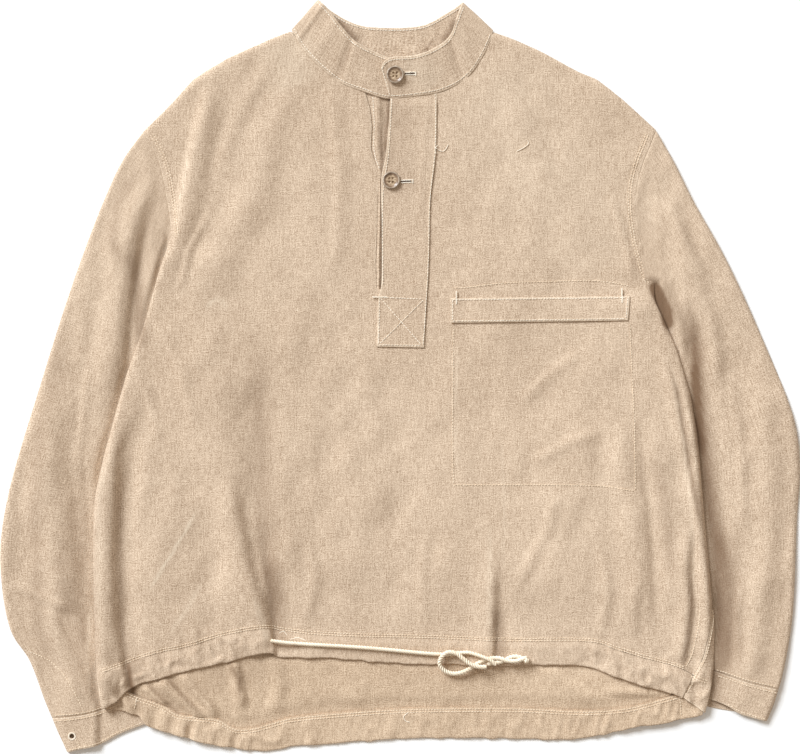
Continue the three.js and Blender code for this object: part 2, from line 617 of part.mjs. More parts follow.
// A strip over or under the front, its height taken from the front's and moved along it
function stripGeometry(rows, height, acrossSteps, alongSteps) {
  const [one, other] = [curve(rows.map((row) => row.slice(0, 2))), curve(rows.map((row) => row.slice(2)))];
  const points = grid(spread(0, 1, acrossSteps), spread(0, 1, alongSteps), (across, up) => {
    const [start, end] = [one(up), other(up)];
    const x = start[0] + (end[0] - start[0]) * across;
    const y = start[1] + (end[1] - start[1]) * across;
    return [x, y, height(x, y)];
  });
  return wall(points, CLOTH);
}

// A folded hem: over the panel's level, round the lower edge and back under it
function casingGeometry({ seamLine, hemLine, level, columns }) {
  const [seam, hem] = [curve(shifted(seamLine, 0, -SEAM)), curve(hemLine)];
  const middle = grid(columns, spread(0, 1, 2), (across, up) => {
    const [start, end] = [seam(across), hem(across)];
    const x = start[0] + (end[0] - start[0]) * up;
    const y = start[1] + (end[1] - start[1]) * up;
    return [x, y, level(x, y)];
  });
  const normals = gridNormals(middle);
  const sign = Math.sign(normals[1][Math.round(columns.length / 2)].z);
  const over = offsetGrid(middle, normals, sign * CASING_SPREAD);
  const under = offsetGrid(middle, normals, -sign * CASING_SPREAD);
  const last = middle.length - 1;
  const turn = middle[last].map((point, c) => {
    const out = point.clone().sub(middle[last - 1][c]).normalize();
    return point.clone().addScaledVector(out, CASING_SPREAD);
  });
  return wall([...over, turn, ...under.reverse()], CLOTH);
}

function buttonGeometry() {
  const radius = BUTTON_RADIUS;
  const profile = [[0, -1.6], [radius * 0.6, -1.6], [radius * 0.92, -0.6], [radius, 0.5],
    [radius * 0.94, 1.4], [radius * 0.8, 1.6], [radius * 0.66, 0.9], [radius * 0.3, 0.4], [0, 0.4]];
  const lathe = new THREE.LatheGeometry(profile.map(([r, h]) => new THREE.Vector2(r, h)), BUTTON_SEGMENTS);
  lathe.rotateX(Math.PI / 2);
  let solid = toSolid(lathe);
  for (const [x, y] of [[-1, -1], [-1, 1], [1, -1], [1, 1]]) {
    const hole = new THREE.CylinderGeometry(BUTTON_HOLE_RADIUS, BUTTON_HOLE_RADIUS, BUTTON_RADIUS, 6);
    hole.rotateX(Math.PI / 2);
    hole.translate(x * BUTTON_HOLE_PLACE, y * BUTTON_HOLE_PLACE, 0);
    solid = solid.subtract(toSolid(hole));
  }
  return toGeometry(solid);
}

// A round cord of eight sides along its route
function cordGeometry(route) {
  const places = route.map((row) => new THREE.Vector3(...row));
  const path = new THREE.CatmullRomCurve3(places, false, 'centripetal');
  const section = new THREE.Shape(spread(0, 1, CORD_SIDES).slice(0, CORD_SIDES).map((share) => (
    new THREE.Vector2(CORD_RADIUS * Math.cos(2 * Math.PI * share),
      CORD_RADIUS * Math.sin(2 * Math.PI * share)))));
  const steps = Math.max(8, Math.round(path.getLength() / CORD_STEP));
  return new THREE.ExtrudeGeometry(section, { steps, extrudePath: path, bevelEnabled: false });
}

function cloth(color) {
  return new THREE.MeshStandardMaterial({ color, roughness: 0.93, metalness: 0 });
}

const linen = cloth(LINEN);
const linenShade = cloth(LINEN_SHADE);
const cream = new THREE.MeshStandardMaterial({ color: CREAM, roughness: 0.8, metalness: 0 });
const horn = new THREE.MeshStandardMaterial({ color: HORN, roughness: 0.35, metalness: 0 });

const group = new THREE.Group();

function add(name, geometry, material) {
  const mesh = new THREE.Mesh(geometry, material);
  mesh.name = name;
  group.add(mesh);
  return mesh;
}

add('back', backGeometry(), linenShade);
add('front', frontGeometry(), linen);
add('sleeve_left', sleeveGeometry(SLEEVE_LEFT, ARMHOLE_LEFT, -1), linen);
add('sleeve_right', sleeveGeometry(SLEEVE_RIGHT, ARMHOLE_RIGHT, 1), linen);
add('cuff_left', cuffGeometry(CUFF_LEFT, SLEEVE_LEFT.cuffSeam), linen);
add('cuff_right', cuffGeometry(CUFF_RIGHT, SLEEVE_RIGHT.cuffSeam), linen);
add('collar_band', collarGeometry(), linen);
add('placket_over', stripGeometry(PLACKET_OVER_ROWS, (x, y) => frontHeight(x, y) + LAYER, 3, 16),
  linen);
add('placket_under', stripGeometry(PLACKET_UNDER_ROWS, (x, y) => frontHeight(x, y) - LAYER, 3, 12),
  linenShade);
add('pocket_welt', stripGeometry(WELT_ROWS, (x, y) => frontHeight(x, y) + LAYER + WELT_GAP, 2, 14),
  linen);
add('pocket_bag', stripGeometry(BAG_ROWS, (x, y) => backHeight(x, y) + LAYER + BAG_GAP, 10, 10),
  linenShade);
add('front_hem_casing', casingGeometry({
  seamLine: FRONT_CASING_TOP, hemLine: FRONT_HEM, level: frontHeight, columns: FRONT_COLUMNS,
}), linen);
add('back_hem_casing', casingGeometry({
  seamLine: BACK_CASING_TOP, hemLine: BACK_HEM, level: (x, y) => backHeight(x, y) + CASING_SPREAD,
  columns: BACK_COLUMNS,
}), linenShade);
for (const { name, x, y, z, tilt } of BUTTONS) {
  const button = add(name, buttonGeometry(), horn);
  button.position.set(x, y, z);
  button.rotation.x = tilt;
}
add('drawstring_left', cordGeometry(CORD_LEFT), cream);
add('drawstring_right', cordGeometry(CORD_RIGHT), cream);
add('drawstring_end', cordGeometry(CORD_END), cream);

export default group;
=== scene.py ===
"""A linen pull-over work smock laid flat on its back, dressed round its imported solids.

x runs to the viewer's right, y towards the collar and z up. Tables are in millimetres, and every
mesh is written in metres, in the frame of the solids.
"""

import json
import math

import bmesh
import bpy
import numpy as np
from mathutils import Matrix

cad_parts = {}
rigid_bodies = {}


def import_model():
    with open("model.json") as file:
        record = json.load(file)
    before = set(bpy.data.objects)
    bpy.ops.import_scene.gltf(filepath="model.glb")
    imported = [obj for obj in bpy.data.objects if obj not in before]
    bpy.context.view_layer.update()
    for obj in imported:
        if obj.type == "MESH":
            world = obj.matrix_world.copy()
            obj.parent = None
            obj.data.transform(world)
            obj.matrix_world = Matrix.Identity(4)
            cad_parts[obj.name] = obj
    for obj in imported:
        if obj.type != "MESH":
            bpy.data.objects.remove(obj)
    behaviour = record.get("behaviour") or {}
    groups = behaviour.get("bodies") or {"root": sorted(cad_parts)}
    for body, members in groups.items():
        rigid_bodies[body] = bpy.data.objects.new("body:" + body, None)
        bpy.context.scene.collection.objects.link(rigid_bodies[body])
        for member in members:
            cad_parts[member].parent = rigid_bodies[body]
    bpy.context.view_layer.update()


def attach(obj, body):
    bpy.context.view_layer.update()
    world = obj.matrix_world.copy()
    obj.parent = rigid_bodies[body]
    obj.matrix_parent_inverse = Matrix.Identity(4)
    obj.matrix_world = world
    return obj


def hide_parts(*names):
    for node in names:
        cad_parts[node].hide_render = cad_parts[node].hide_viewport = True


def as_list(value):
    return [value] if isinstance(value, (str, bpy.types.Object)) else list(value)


for leftover in list(bpy.data.objects):
    bpy.data.objects.remove(leftover)
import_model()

MM = 0.001

# Cloth and its layers: thicknesses, and heights of the middle surfaces above the ground
CLOTH = 1.2
COLLAR_CLOTH = 2.0
LAYER = 1.5
BACK_Z = 0.6
FRONT_Z = 4.6
SLEEVE_Z = 4.9
TUCKED_Z = 2.5
DEEPEST = -2.6
TAIL_DEEPEST = -0.3
CASING_SPREAD = 0.9
CASING_TUCK_RUN = 7

# How the sleeves under its sides lift the body
LIFT = 3.5
LIFT_REACH = 90
LIFT_RUN_IN = 60
LIFT_RUN_DOWN = 26

# Where the front's hem rides over the tail
HEM_RISE = 1.7
OVER_TAIL_Y = -292
OVER_TAIL_X = 225
TAIL_SHOWS_Y = -266
TAIL_RISE = 1.5
TAIL_FLATTER = 0.85

# Rolled sides, shoulders, the sleeves' edges and seams
SIDE_EDGE_Z = 1.86
ROLL_RUN = 40
ROLL_EARLY_RIGHT = 25
ROLL_RADIUS_LEFT = 5
ROLL_RADIUS_RIGHT = 9
SHOULDER_RADIUS = 7
SHOULDER_COSINE = 0.87
SLEEVE_RADIUS = 5
TURN_RADIUS = 3
PRESSED_BESIDE = 1
SLEEVE_RUN = 8
SLEEVE_FULLNESS = 0.7
SEAM_TUCK = 0.7
SEAM_TUCK_RUN = 3
SEAM_BLEND = 22
WRAP_FREE_Y = -314
WRAP_FREE_RUN = 8
WRAP_RADIUS = 5
WRAP_STANDS = 0.2

# Sizes of the pieces
BODY_SIZE = 600
SLEEVE_WIDTH = 185
SLEEVE_LENGTH = 600
CUFF_WIDTH = 118
CUFF_HEIGHT = 35
COLLAR_LENGTH = 560
COLLAR_HEIGHT = 40
CASING_LENGTH = 630
WRAP_WIDTH = 24
WRAP_LENGTH = 108
PLACKET_WIDTH = 50
WELT_LENGTH = 26
BAG_WIDTH = 204

# Shares of a panel's edge where one outline ends and the next begins
NECK_BREAKS = (0.3, 0.68)
UNDERARM_LEFT_UP = 0.79
UNDERARM_RIGHT_UP = 0.72
WRAP_UP = 0.13

# Steps of the grids, across and up
FRONT_STEPS = (3.1, 3.4)
BACK_STEPS = (2.3, 6)
SLEEVE_STEPS = (3.2, 3.4)
CUFF_STEPS = (1.8, 1.7)
COLLAR_STEPS = (2.4, 1.8)
WRAP_STEPS = (1.6, 1.8)
STRIP_STEP = 2.0
BAG_STEP = 8.0
FRONT_CASING_STEP = 2.1
BACK_CASING_STEP = 2.3
TAIL_SHARE = 0.15
TAIL_ROWS = 52
SLIT_COLUMNS = 14
SLIT_ROWS = 6

# Outlines seen from above, each row x, y
ARMHOLE_LEFT = [(-265, 251), (-255, 236), (-247, 218), (-240, 185), (-236, 158), (-235, 143)]
ARMHOLE_RIGHT = [(263, 254), (257, 238), (250, 221), (244, 198), (243, 172), (247, 142), (254, 116),
                 (262, 95)]
SIDE_LEFT = [(-235, 143), (-247, 109), (-264, 49), (-281, 1), (-302, -75), (-313, -123), (-315, -190),
             (-313, -250), (-311, -305)]
SIDE_RIGHT = [(262, 95), (262, 79), (269, 62), (284, 28), (297, -15), (305, -58), (311, -129),
              (319, -220), (319.5, -236)]
BACK_SIDE_RIGHT = SIDE_RIGHT[:-1] + [(322, -262), (322, -299), (319, -316)]
SEAM_RIGHT = [(319.5, -236), (318.5, -252), (315, -271), (310, -290), (302, -306)]
WRAP_EDGE = [(322, -239), (323, -262), (322, -299), (318, -325), (313, -345)]
WRAP_SEAM = [(319.8, -239), (318.7, -252), (315.2, -271), (310.2, -290), (301.6, -306), (295.8, -317),
             (290.2, -328.5)]
WRAP_HEM = [(291, -329), (302, -337), (313, -345)]
SHOULDER_LEFT = [(-265, 251), (-231, 285), (-212, 306), (-178, 327), (-134, 347), (-112, 355.5)]
SHOULDER_RIGHT = [(96, 354.5), (117, 347), (144, 335), (185, 313), (202, 306), (229, 285), (263, 254)]
NECK_FRONT = [(-112, 355.5), (-98, 338.5), (-79, 319), (-59.5, 303), (-36, 295.5), (-9, 288.5),
              (15, 290.5), (43, 296), (65, 307), (80, 324), (90, 341), (96, 354.5)]
NECK_BACK = [(-112, 355.5), (-86, 344), (-58, 332), (-20, 321.5), (25, 321.5), (58, 334),
             (82, 347), (96, 354.5)]
FRONT_CASING_TOP = [(-311, -305), (-285, -296), (-247, -283), (-222, -278), (-178, -265), (-139, -258),
                    (-123, -261), (-72, -266), (31, -269), (114, -272), (200, -273), (222, -280),
                    (248, -288), (285, -298), (301, -306)]
FRONT_HEM = [(-306, -340), (-290, -331), (-277, -319), (-229, -303), (-175, -291), (-149, -285),
             (-131, -283), (-126, -286), (-72, -288), (0, -293), (103, -295), (190, -296), (210, -302),
             (237, -312), (263, -319), (280, -324), (290, -329)]
BACK_CASING_TOP = [(-311, -305), (-290, -318), (-271, -327), (-242, -338), (-228, -346), (-206, -349),
                   (-186, -352), (-170, -361), (-153, -361), (-137, -357), (-116, -351), (-72, -346),
                   (0, -341), (124, -340), (190, -343), (235, -339), (266, -331), (290, -324),
                   (319, -316)]
BACK_HEM = [(-305, -339), (-288, -342), (-269, -347), (-261, -356), (-247, -362), (-219, -370),
            (-192, -377), (-165, -381), (-137, -383), (-109, -379), (-72, -376), (0, -371), (41, -370),
            (124, -371), (185, -371), (216, -365), (247, -358), (268, -355), (311, -346)]
SLIT_LEFT = [(-41, 310), (-31, 276), (-29, 258), (-30, 235), (-22, 207), (-25, 120), (-24, 86)]
SLIT_RIGHT = [(34, 310), (31, 250), (27, 200), (24, 120), (22, 86)]
SLIT_FOOT_Y = 86

# Sleeves and cuffs, from the shoulder down and from the outer side in
SLEEVE_LEFT = {
    "outer": [(-265, 251), (-284, 224), (-304, 182), (-335, 100), (-368, -3), (-404, -127),
              (-411, -188), (-400, -261), (-381, -291), (-365, -333), (-357.5, -351)],
    "inner": [(-235, 142), (-239, 127), (-242, 110), (-238, 84), (-222, 44), (-205, -20), (-199, -90),
              (-203, -160), (-212, -230), (-228, -285), (-243, -318)],
    "cuff_seam": [(-357.5, -351), (-324, -347), (-306, -342), (-286, -334), (-243, -318)],
}
CUFF_LEFT_HEM = [(-342, -386), (-330, -383), (-309, -378), (-288, -367), (-260, -356), (-238, -346)]
CUFF_LEFT = {
    "outer": [(-357.5, -351), (-350, -369), (-342, -386)],
    "inner": [(-243, -318), (-240, -332), (-238, -346)],
    "upper_hem": CUFF_LEFT_HEM,
    "lower_hem": CUFF_LEFT_HEM,
}
SLEEVE_RIGHT = {
    "outer": [(263, 254), (280, 224), (301, 182), (335, 121), (373, 38), (405, -44), (411, -90),
              (408, -147), (403, -250), (393, -307), (389, -321)],
    "inner": [(262, 94), (258, 82), (258, 69), (260, 56), (260, 44), (254, 28), (234, 0),
              (214, -40), (205, -100), (208, -160), (222, -220), (252, -265), (274, -288)],
    "cuff_seam": [(389, -321), (362, -315), (340, -308), (322, -302), (274, -288)],
}
CUFF_RIGHT = {
    "outer": [(389, -321), (384, -337), (377, -354)],
    "inner": [(274, -288), (270, -303), (268, -318)],
    "upper_hem": [(377, -354), (362, -350), (349, -346), (336, -338), (317, -331), (268, -318)],
    "lower_hem": [(377, -354), (362, -351), (348, -348), (330, -347), (313, -345), (268, -330)],
}

# Folds of the body: width on the left and on the right of the line, height, then the line itself,
# which runs downwards. Left and right are as the viewer sees them
BODY_FOLDS = [
    ("left roll", 16, 28, 8.5, [(-288, -30), (-302, -120), (-305, -200), (-305, -300), (-300, -330)]),
    ("beside the left roll", 11, 24, -4.8, [(-272, -46), (-284, -80), (-285, -128), (-288, -190),
                                            (-285, -250), (-276, -294), (-271, -316)]),
    ("right roll", 12, 8, 5.6, [(288, 6), (296, -30), (303.5, -80), (306.5, -120), (310, -160),
                                (313.5, -207), (316, -240), (312, -300)]),
    ("right pleat", 14, 4.5, 3.6, [(270, 20), (281, -13), (286, -44), (290, -65), (295, -97),
                                   (300, -128), (307, -160)]),
    ("right lower pleat", 16, 5, 3.8, [(298, -150), (293, -197), (296, -233), (293, -268), (287, -300)]),
    ("long hollow", 30, 34, -2.6, [(-146, 0), (-152, -80), (-146, -150), (-134, -200)]),
    ("hem crease", 30, 12, 5.6, [(-178, -100), (-165, -160), (-151, -233), (-144, -262), (-140, -296)]),
    ("fold over the hem", 14, 3.4, 3.4, [(-156, -196), (-142, -226), (-135, -258), (-130.5, -278),
                                         (-129, -300)]),
    ("right of the hem crease", 8, 30, -2.8, [(-140, -150), (-133, -215), (-128, -250), (-122, -296)]),
    ("left belly", 34, 40, 2.8, [(-214, -110), (-240, -170), (-256, -235)]),
    ("between the left folds", 20, 16, -1.6, [(-190, -175), (-196, -225), (-190, -280)]),
    ("centre crease", 26, 6, 3.2, [(97, -190), (94, -240), (92.5, -290), (92, -340)]),
    ("right of the centre", 7, 20, -1.8, [(103, -210), (103, -250), (102, -340)]),
    ("recess at the hem", 7, 12, -2.6, [(101, -252), (102, -272), (102, -310)]),
    ("right belly", 26, 18, 4.4, [(216, -40), (236, -112), (244, -180), (240, -270)]),
    ("right of the right belly", 9, 16, -2.6, [(244, -40), (255, -112), (262, -191), (266, -262)]),
    ("left shoulder", 13, 22, 5.2, [(-194, 300), (-207, 235), (-222, 160), (-236, 110)]),
    ("pit beside the left roll", 5, 7, -4.5, [(-283, -286), (-280, -304), (-276, -322)]),
    ("left chest", 26, 26, 2.6, [(-120, 300), (-150, 180), (-215, 80)]),
    ("right chest", 26, 26, 2.6, [(110, 300), (150, 200), (200, 130)]),
    ("middle belly", 40, 40, 2.4, [(-60, -20), (-40, -120), (-56, -220)]),
    ("left of the placket", 10, 16, 1.6, [(-70, 290), (-62, 200), (-66, 110)]),
    ("pocket fold upper", 7, 13, 1.5, [(186, 28), (152, 2), (124, -24)]),
    ("pocket fold lower", 7, 13, 1.7, [(206, -55), (172, -66), (134, -88)]),
    ("below the pocket", 10, 10, 1.8, [(160, -120), (150, -160), (120, -215)]),
    ("low right pull", 9, 8, 1.6, [(205, -170), (214, -220), (206, -268)]),
    ("right hem dart", 6, 8, -1.4, [(247, -215), (246, -245), (247, -272)]),
    ("left diagonal", 4, 3, 0.35, [(-207, -136), (-231, -176), (-258, -220)]),
    ("left low diagonal", 8, 9, 1.5, [(-232, -235), (-214, -258), (-205, -275)]),
    ("shoulder ridge left", 7, 9, 1.4, [(-210, 262), (-220, 205), (-231, 160)]),
    ("yoke left", 12, 12, 1.2, [(-130, 330), (-165, 270), (-190, 205)]),
    ("yoke right", 12, 12, 1.2, [(130, 318), (160, 262), (176, 200)]),
    ("armhole pull right", 6, 8, 1.6, [(214, 190), (228, 150), (240, 100)]),
    ("armhole pull left", 6, 8, 1.4, [(-196, 170), (-216, 130), (-226, 90)]),
    ("low centre left", 9, 10, 1.4, [(-96, -165), (-86, -205), (-98, -256)]),
    ("low centre", 10, 10, 1.4, [(30, -150), (22, -205), (26, -255)]),
    ("left side pull", 8, 10, 1.8, [(-276, 20), (-258, -20), (-246, -70)]),
    ("left waist pull", 8, 12, 1.8, [(-252, 60), (-226, 10), (-212, -50)]),
]
SLEEVE_FOLDS = [
    ("left upper", 30, 17, 5.8, [(-258, 205), (-280, 140), (-288, 85), (-292, 35), (-302, -18)]),
    ("left hollow", 9, 18, -3.2, [(-260, 150), (-270, 95), (-275, 50), (-279, 5)]),
    ("left forearm", 28, 30, 5.8, [(-350, 10), (-363, -75), (-361, -130), (-354, -181), (-346, -250)]),
    ("left elbow hollow", 20, 12, -3.4, [(-326, -90), (-322, -150), (-318, -215), (-314, -280)]),
    ("left wrist", 16, 12, 3.6, [(-362, -230), (-344, -285), (-326, -335)]),
    ("left wrist hollow", 8, 10, -2.2, [(-326, -240), (-316, -285), (-309, -330)]),
    ("left outer hollow", 14, 14, -2.2, [(-382, -60), (-390, -140), (-384, -230)]),
    ("right upper", 22, 16, 5, [(270, 190), (296, 120), (318, 50), (326, -20)]),
    ("right forearm", 22, 20, 3.6, [(368, 0), (380, -110), (376, -240)]),
    ("right wrist", 18, 18, 2.6, [(372, -200), (366, -260), (358, -310)]),
    ("underarm hollow", 8, 9, -5.4, [(258, 96), (268, 76), (276, 46)]),
    ("left long ridge", 7, 5, 1.4, [(-318, 20), (-330, -90), (-322, -190)]),
    ("left elbow", 6, 9, 1.6, [(-392, -110), (-366, -150), (-340, -176)]),
    ("left low elbow", 6, 8, 1.6, [(-396, -215), (-366, -228), (-338, -240)]),
    ("left wrist pull", 5, 6, 1.4, [(-349, -262), (-331, -292), (-318, -334)]),
    ("left inner pull", 5, 6, 1.2, [(-322, -205), (-316, -245), (-318, -290)]),
    ("right top pull", 6, 8, 1.6, [(276, 170), (296, 130), (326, 84)]),
    ("right inner ridge", 5, 8, 1.8, [(288, 84), (298, 60), (303, 30)]),
    ("right long ridge", 6, 8, 1.6, [(338, 10), (350, -70), (352, -150)]),
    ("right low ridge", 6, 6, 1.6, [(352, -210), (346, -250), (348, -292)]),
    ("trough beside the body", 14, 30, -7.0, [(300, 90), (302, 40), (303, 0), (307, -44), (311, -85),
                                              (317, -127), (322, -168), (329, -209), (331, -250),
                                              (327, -300), (324, -350)]),
]
TAIL_FOLDS = [
    ("tail left", 12, 7, 4.6, [(-262, -290), (-240, -318), (-218, -336), (-196, -352)]),
    ("tail left inner", 10, 6, 3.8, [(-236, -286), (-216, -314), (-198, -334), (-186, -352)]),
    ("tail middle left", 14, 6, 4.4, [(-178, -270), (-167, -304), (-160, -342)]),
    ("tail middle", 14, 12, 2.4, [(-132, -276), (-124, -312), (-128, -346)]),
    ("tail under the flap", 7, 5, 3.0, [(-268, -312), (-252, -328), (-238, -336)]),
    ("tail right", 14, 12, 1.6, [(150, -296), (170, -318), (214, -338)]),
    ("tail right end", 7, 7, 2.0, [(206, -322), (250, -325), (292, -322)]),
    ("tail centre", 16, 16, 1.2, [(-60, -290), (-40, -316), (-50, -340)]),
]

# Random dents: height, pitch, seed, turn and stretch of each lattice
BODY_DENTS = [(0.55, 46, 3, 0, 1), (0.3, 21, 4, 0.5, 1.6), (0.16, 9, 5, 0.2, 1.5), (0.08, 5, 6, -0.3, 1.4)]
BODY_WAVES = [(2.4, 44, 13, 0.2, 2), (1.1, 21, 14, -0.25, 1.8)]
HEM_RIPPLES = [(0.8, 6.5, 11, 0.1, 3.2), (0.3, 3.6, 12, -0.3, 2.5)]
SLEEVE_DENTS = [(1.5, 36, 21, 0.15, 2.2), (0.9, 17, 22, -0.2, 1.9), (0.2, 7, 23, 0, 1)]
TAIL_DENTS = [(0.7, 24, 31, 0, 1), (0.3, 10, 32, 0, 1)]
TAIL_HEM_RIPPLES = [(0.8, 7.5, 61, 0.1, 2.6)]
COLLAR_DENTS = [(0.5, 17, 51, 0, 1.6), (0.14, 6, 52, 0, 1)]
WELT_DENTS = [(0.35, 13, 71, 0.1, 1.2)]
CASING_WAVER = [(0.9, 9, 41, 0, 4)]

# Crisp creases, with the same columns
BODY_CREASES = (0.3, 34, 7, 0.3, 2.2)
HEM_CREASES = (1.7, 9, 15, 0.4, 1.8)
SLEEVE_CREASES = (0.5, 20, 24, 0.1, 3)
TAIL_HEM_CREASES = (2.2, 9.5, 62, -0.25, 2.2)
CREASE_SHARPNESS = 1.6

# Where the upright waves of the body stay clear of the hem and, as an ellipse, of the neck and placket
WAVES = {"height": 0.9, "low": -0.1, "hem_y": -262, "hem_run": 50, "neck_x": -2, "neck_y": 280,
         "neck_stretch": 3, "neck_radius": 45, "neck_run": 60, "share": 0.7, "more": 0.45,
         "more_from_y": 90, "more_run": 160}
# How the drawn hems pucker: shares in the middle and at the two ends, and where the ends begin
FRONT_PUCKER = {"middle": 0.28, "ends": 1.1, "left_x": -138, "left_run": 30, "right_x": 178,
                "right_run": 20, "above": 26, "run": 40}
TAIL_PUCKER = {"middle": 0.5, "left": 0.4, "right": 0.15, "left_x": -60, "right_x": 120, "run": 80,
               "run_down": 8, "fullness": 0.7}

# Collar sections from the lower end at the centre front, round the neck and back over itself.
# Each row: x, y, z at the neck seam, then x, y, z at the free edge
COLLAR_ROWS = [
    (14, 291.5, 4.5, 12, 328, 6.8),
    (-12, 290, 4.5, -8, 327.5, 6.8),
    (-36, 297, 5, -28, 335, 7.8),
    (-59, 305.7, 5.4, -46, 345, 8.6),
    (-79, 320.8, 5.6, -60, 360, 8.8),
    (-97.5, 340.2, 5.4, -73, 377, 8.2),
    (-106, 352.5, 4.8, -81, 385, 6.8),
    (-109.5, 358.5, 3.3, -83.5, 387.5, 4.4),
    (-106.5, 357.5, 1.8, -81.5, 386, 2.1),
    (-97, 352, 1.5, -74, 379, 1.6),
    (-60, 335, 1.4, -45, 363, 1.5),
    (-20, 324.5, 1.4, -15, 359.5, 1.5),
    (25, 324.5, 1.4, 24, 362, 1.5),
    (60, 337, 1.4, 44, 372, 1.5),
    (80, 348.5, 1.5, 57, 380, 1.6),
    (91, 356, 1.8, 62.5, 384, 2.1),
    (93.5, 357.5, 3.3, 64, 385, 4.6),
    (92, 349.5, 5, 62, 380, 7.2),
    (83.5, 332.5, 6, 57, 366, 8.8),
    (66, 310, 6.6, 51, 350, 9.4),
    (43, 297.5, 7, 36, 338, 9.7),
    (15, 292.5, 7.2, 15, 330, 9.8),
    (-7, 290.5, 7.2, -9, 328, 9.8),
    (-10.5, 291.3, 7.2, -16.5, 323.5, 9.6),
    (-12, 292.3, 7.2, -19.5, 317, 9.2),
]

# Strips on the front: each row x, y along one long edge, then x, y along the other
PLACKET_OVER_ROWS = [
    (-24, 31, 25, 30), (-22, 83, 27, 77), (-19.5, 92, 29, 97), (-18.5, 150, 30.5, 150),
    (-19, 205, 31, 180), (-14.5, 228, 37, 229), (-11.5, 262, 38, 268), (-9.5, 292, 38.5, 297),
]
PLACKET_UNDER_ROWS = [
    (-34, 84, 16, 84), (-34, 120, 17, 120), (-33, 200, 18, 200), (-39, 240, 22, 240),
    (-40, 270, 24, 270), (-43, 302, 27, 298),
]
WELT_ROWS = [(52, 81, 52, 55.5), (110, 81.5, 110, 56.3), (170, 82.3, 170, 57), (236, 83, 234, 58)]
BAG_ROWS = [(55, 91, 56, -111), (104, 95, 104, -111.5), (154, 98, 150, -112), (206, 98, 200, -112),
            (236, 92, 241, -117)]

# Drawstring routes, each row x, y, z
CORD_LEFT = [(-133, -270.5, 9.4), (-118, -272.5, 8.9), (-100, -274, 8.5), (-78, -275.3, 8.5),
             (-55, -276.6, 8.5), (-30, -278.4, 8.5), (-5, -280.6, 8.5), (18, -282.9, 8.5),
             (38, -284.4, 8.5), (50, -284.6, 8.5), (61, -283.2, 8.8), (70, -282.6, 10),
             (79, -284.8, 12), (87, -287.6, 13.2), (93.5, -290.8, 13.2), (98.5, -295, 12.6)]
CORD_RIGHT = [(130.5, -287.6, 8.8), (125, -289.6, 10.4), (118, -291.2, 12), (110, -290.6, 12),
              (102, -288.4, 10), (93, -288.8, 8.6), (85, -291.4, 8.5), (78, -295, 8.5), (71, -299.6, 8.6),
              (63, -303.4, 8.2), (54, -304.4, 8.2), (45.5, -301.2, 8.8), (40.6, -294.4, 10.2),
              (42.4, -287, 12), (49, -282, 13), (57.4, -283.2, 13.2), (64.4, -288.4, 13.2),
              (71, -293.4, 13.2), (79.6, -296.6, 13.2), (89, -297.2, 12.4)]
CORD_END = [(89.6, -294.9, 9.4), (94, -293.4, 8.8), (101, -292.8, 8.5), (108, -290.4, 8.2),
            (114, -287.6, 8.4), (120, -287, 8.5), (125.5, -288.6, 8.5), (129, -290.4, 8.5)]


# The photograph's view

PHOTO_WIDTH = 0.824
SENSOR = 36.0
LENS = 100.0


def add_camera():
    """A long lens straight above the middle of the cloth, as wide as the photograph."""
    data = bpy.data.cameras.new("camera")
    data.lens = LENS
    data.sensor_width = SENSOR
    data.clip_end = 20
    camera = bpy.data.objects.new("camera", data)
    camera.location = (0, 0, PHOTO_WIDTH * LENS / SENSOR)
    bpy.context.scene.collection.objects.link(camera)
    bpy.context.scene.camera = camera


# Lines, blends and heights

def hermite(rows, t):
    """A centripetal Catmull-Rom line through the rows, read by t from 0 to 1 over its rows.

    Each stretch is the cubic with the tangents of three neighbouring rows, whose spacing counts
    as the square root of their distance.
    """
    points = np.array([tuple(row) + (0.0,) * (3 - len(row)) for row in rows], float)
    padded = np.vstack([2 * points[0] - points[1], points, 2 * points[-1] - points[-2]])
    t = np.clip(np.asarray(t, float), 0, 1) * (len(points) - 1)
    index = np.minimum(t.astype(int), len(points) - 2)
    local = (t - index)[..., None]
    before, start, end, after = (padded[index + step] for step in range(4))
    root = [np.sqrt(np.linalg.norm(b - a, axis=-1, keepdims=True)) + 1e-9
            for a, b in ((before, start), (start, end), (end, after))]
    tangent_in = ((start - before) / root[0] - (end - before) / (root[0] + root[1])
                  + (end - start) / root[1]) * root[1]
    tangent_out = ((end - start) / root[1] - (after - start) / (root[1] + root[2])
                   + (after - end) / root[2]) * root[1]
    cubic = 2 * start - 2 * end + tangent_in + tangent_out
    square = 3 * end - 3 * start - 2 * tangent_in - tangent_out
    return ((cubic * local + square) * local + tangent_in) * local + start


def curve(rows):
    """The same line, read by the share of its length."""
    dense = hermite(rows, np.linspace(0, 1, 40 * len(rows) + 1))
    along = np.concatenate([[0], np.cumsum(np.linalg.norm(np.diff(dense, axis=0), axis=1))])

    def at(share):
        """Points at these shares of the length."""
        place = np.clip(share, 0, 1) * along[-1]
        return np.stack([np.interp(place, along, dense[:, axis]) for axis in range(3)], axis=-1)

    return at


def chain(curves, breaks):
    """Curves one after another; breaks holds the shares where each one ends."""
    def at(share):
        """Points at these shares, each from the curve that holds it."""
        share = np.asarray(share, float)
        found = curves[0](share / breaks[0])
        for index in range(1, len(curves)):
            start, end = breaks[index - 1], breaks[index]
            part = curves[index]((share - start) / (end - start))
            found = np.where((share > start)[..., None], part, found)
        return found

    return at


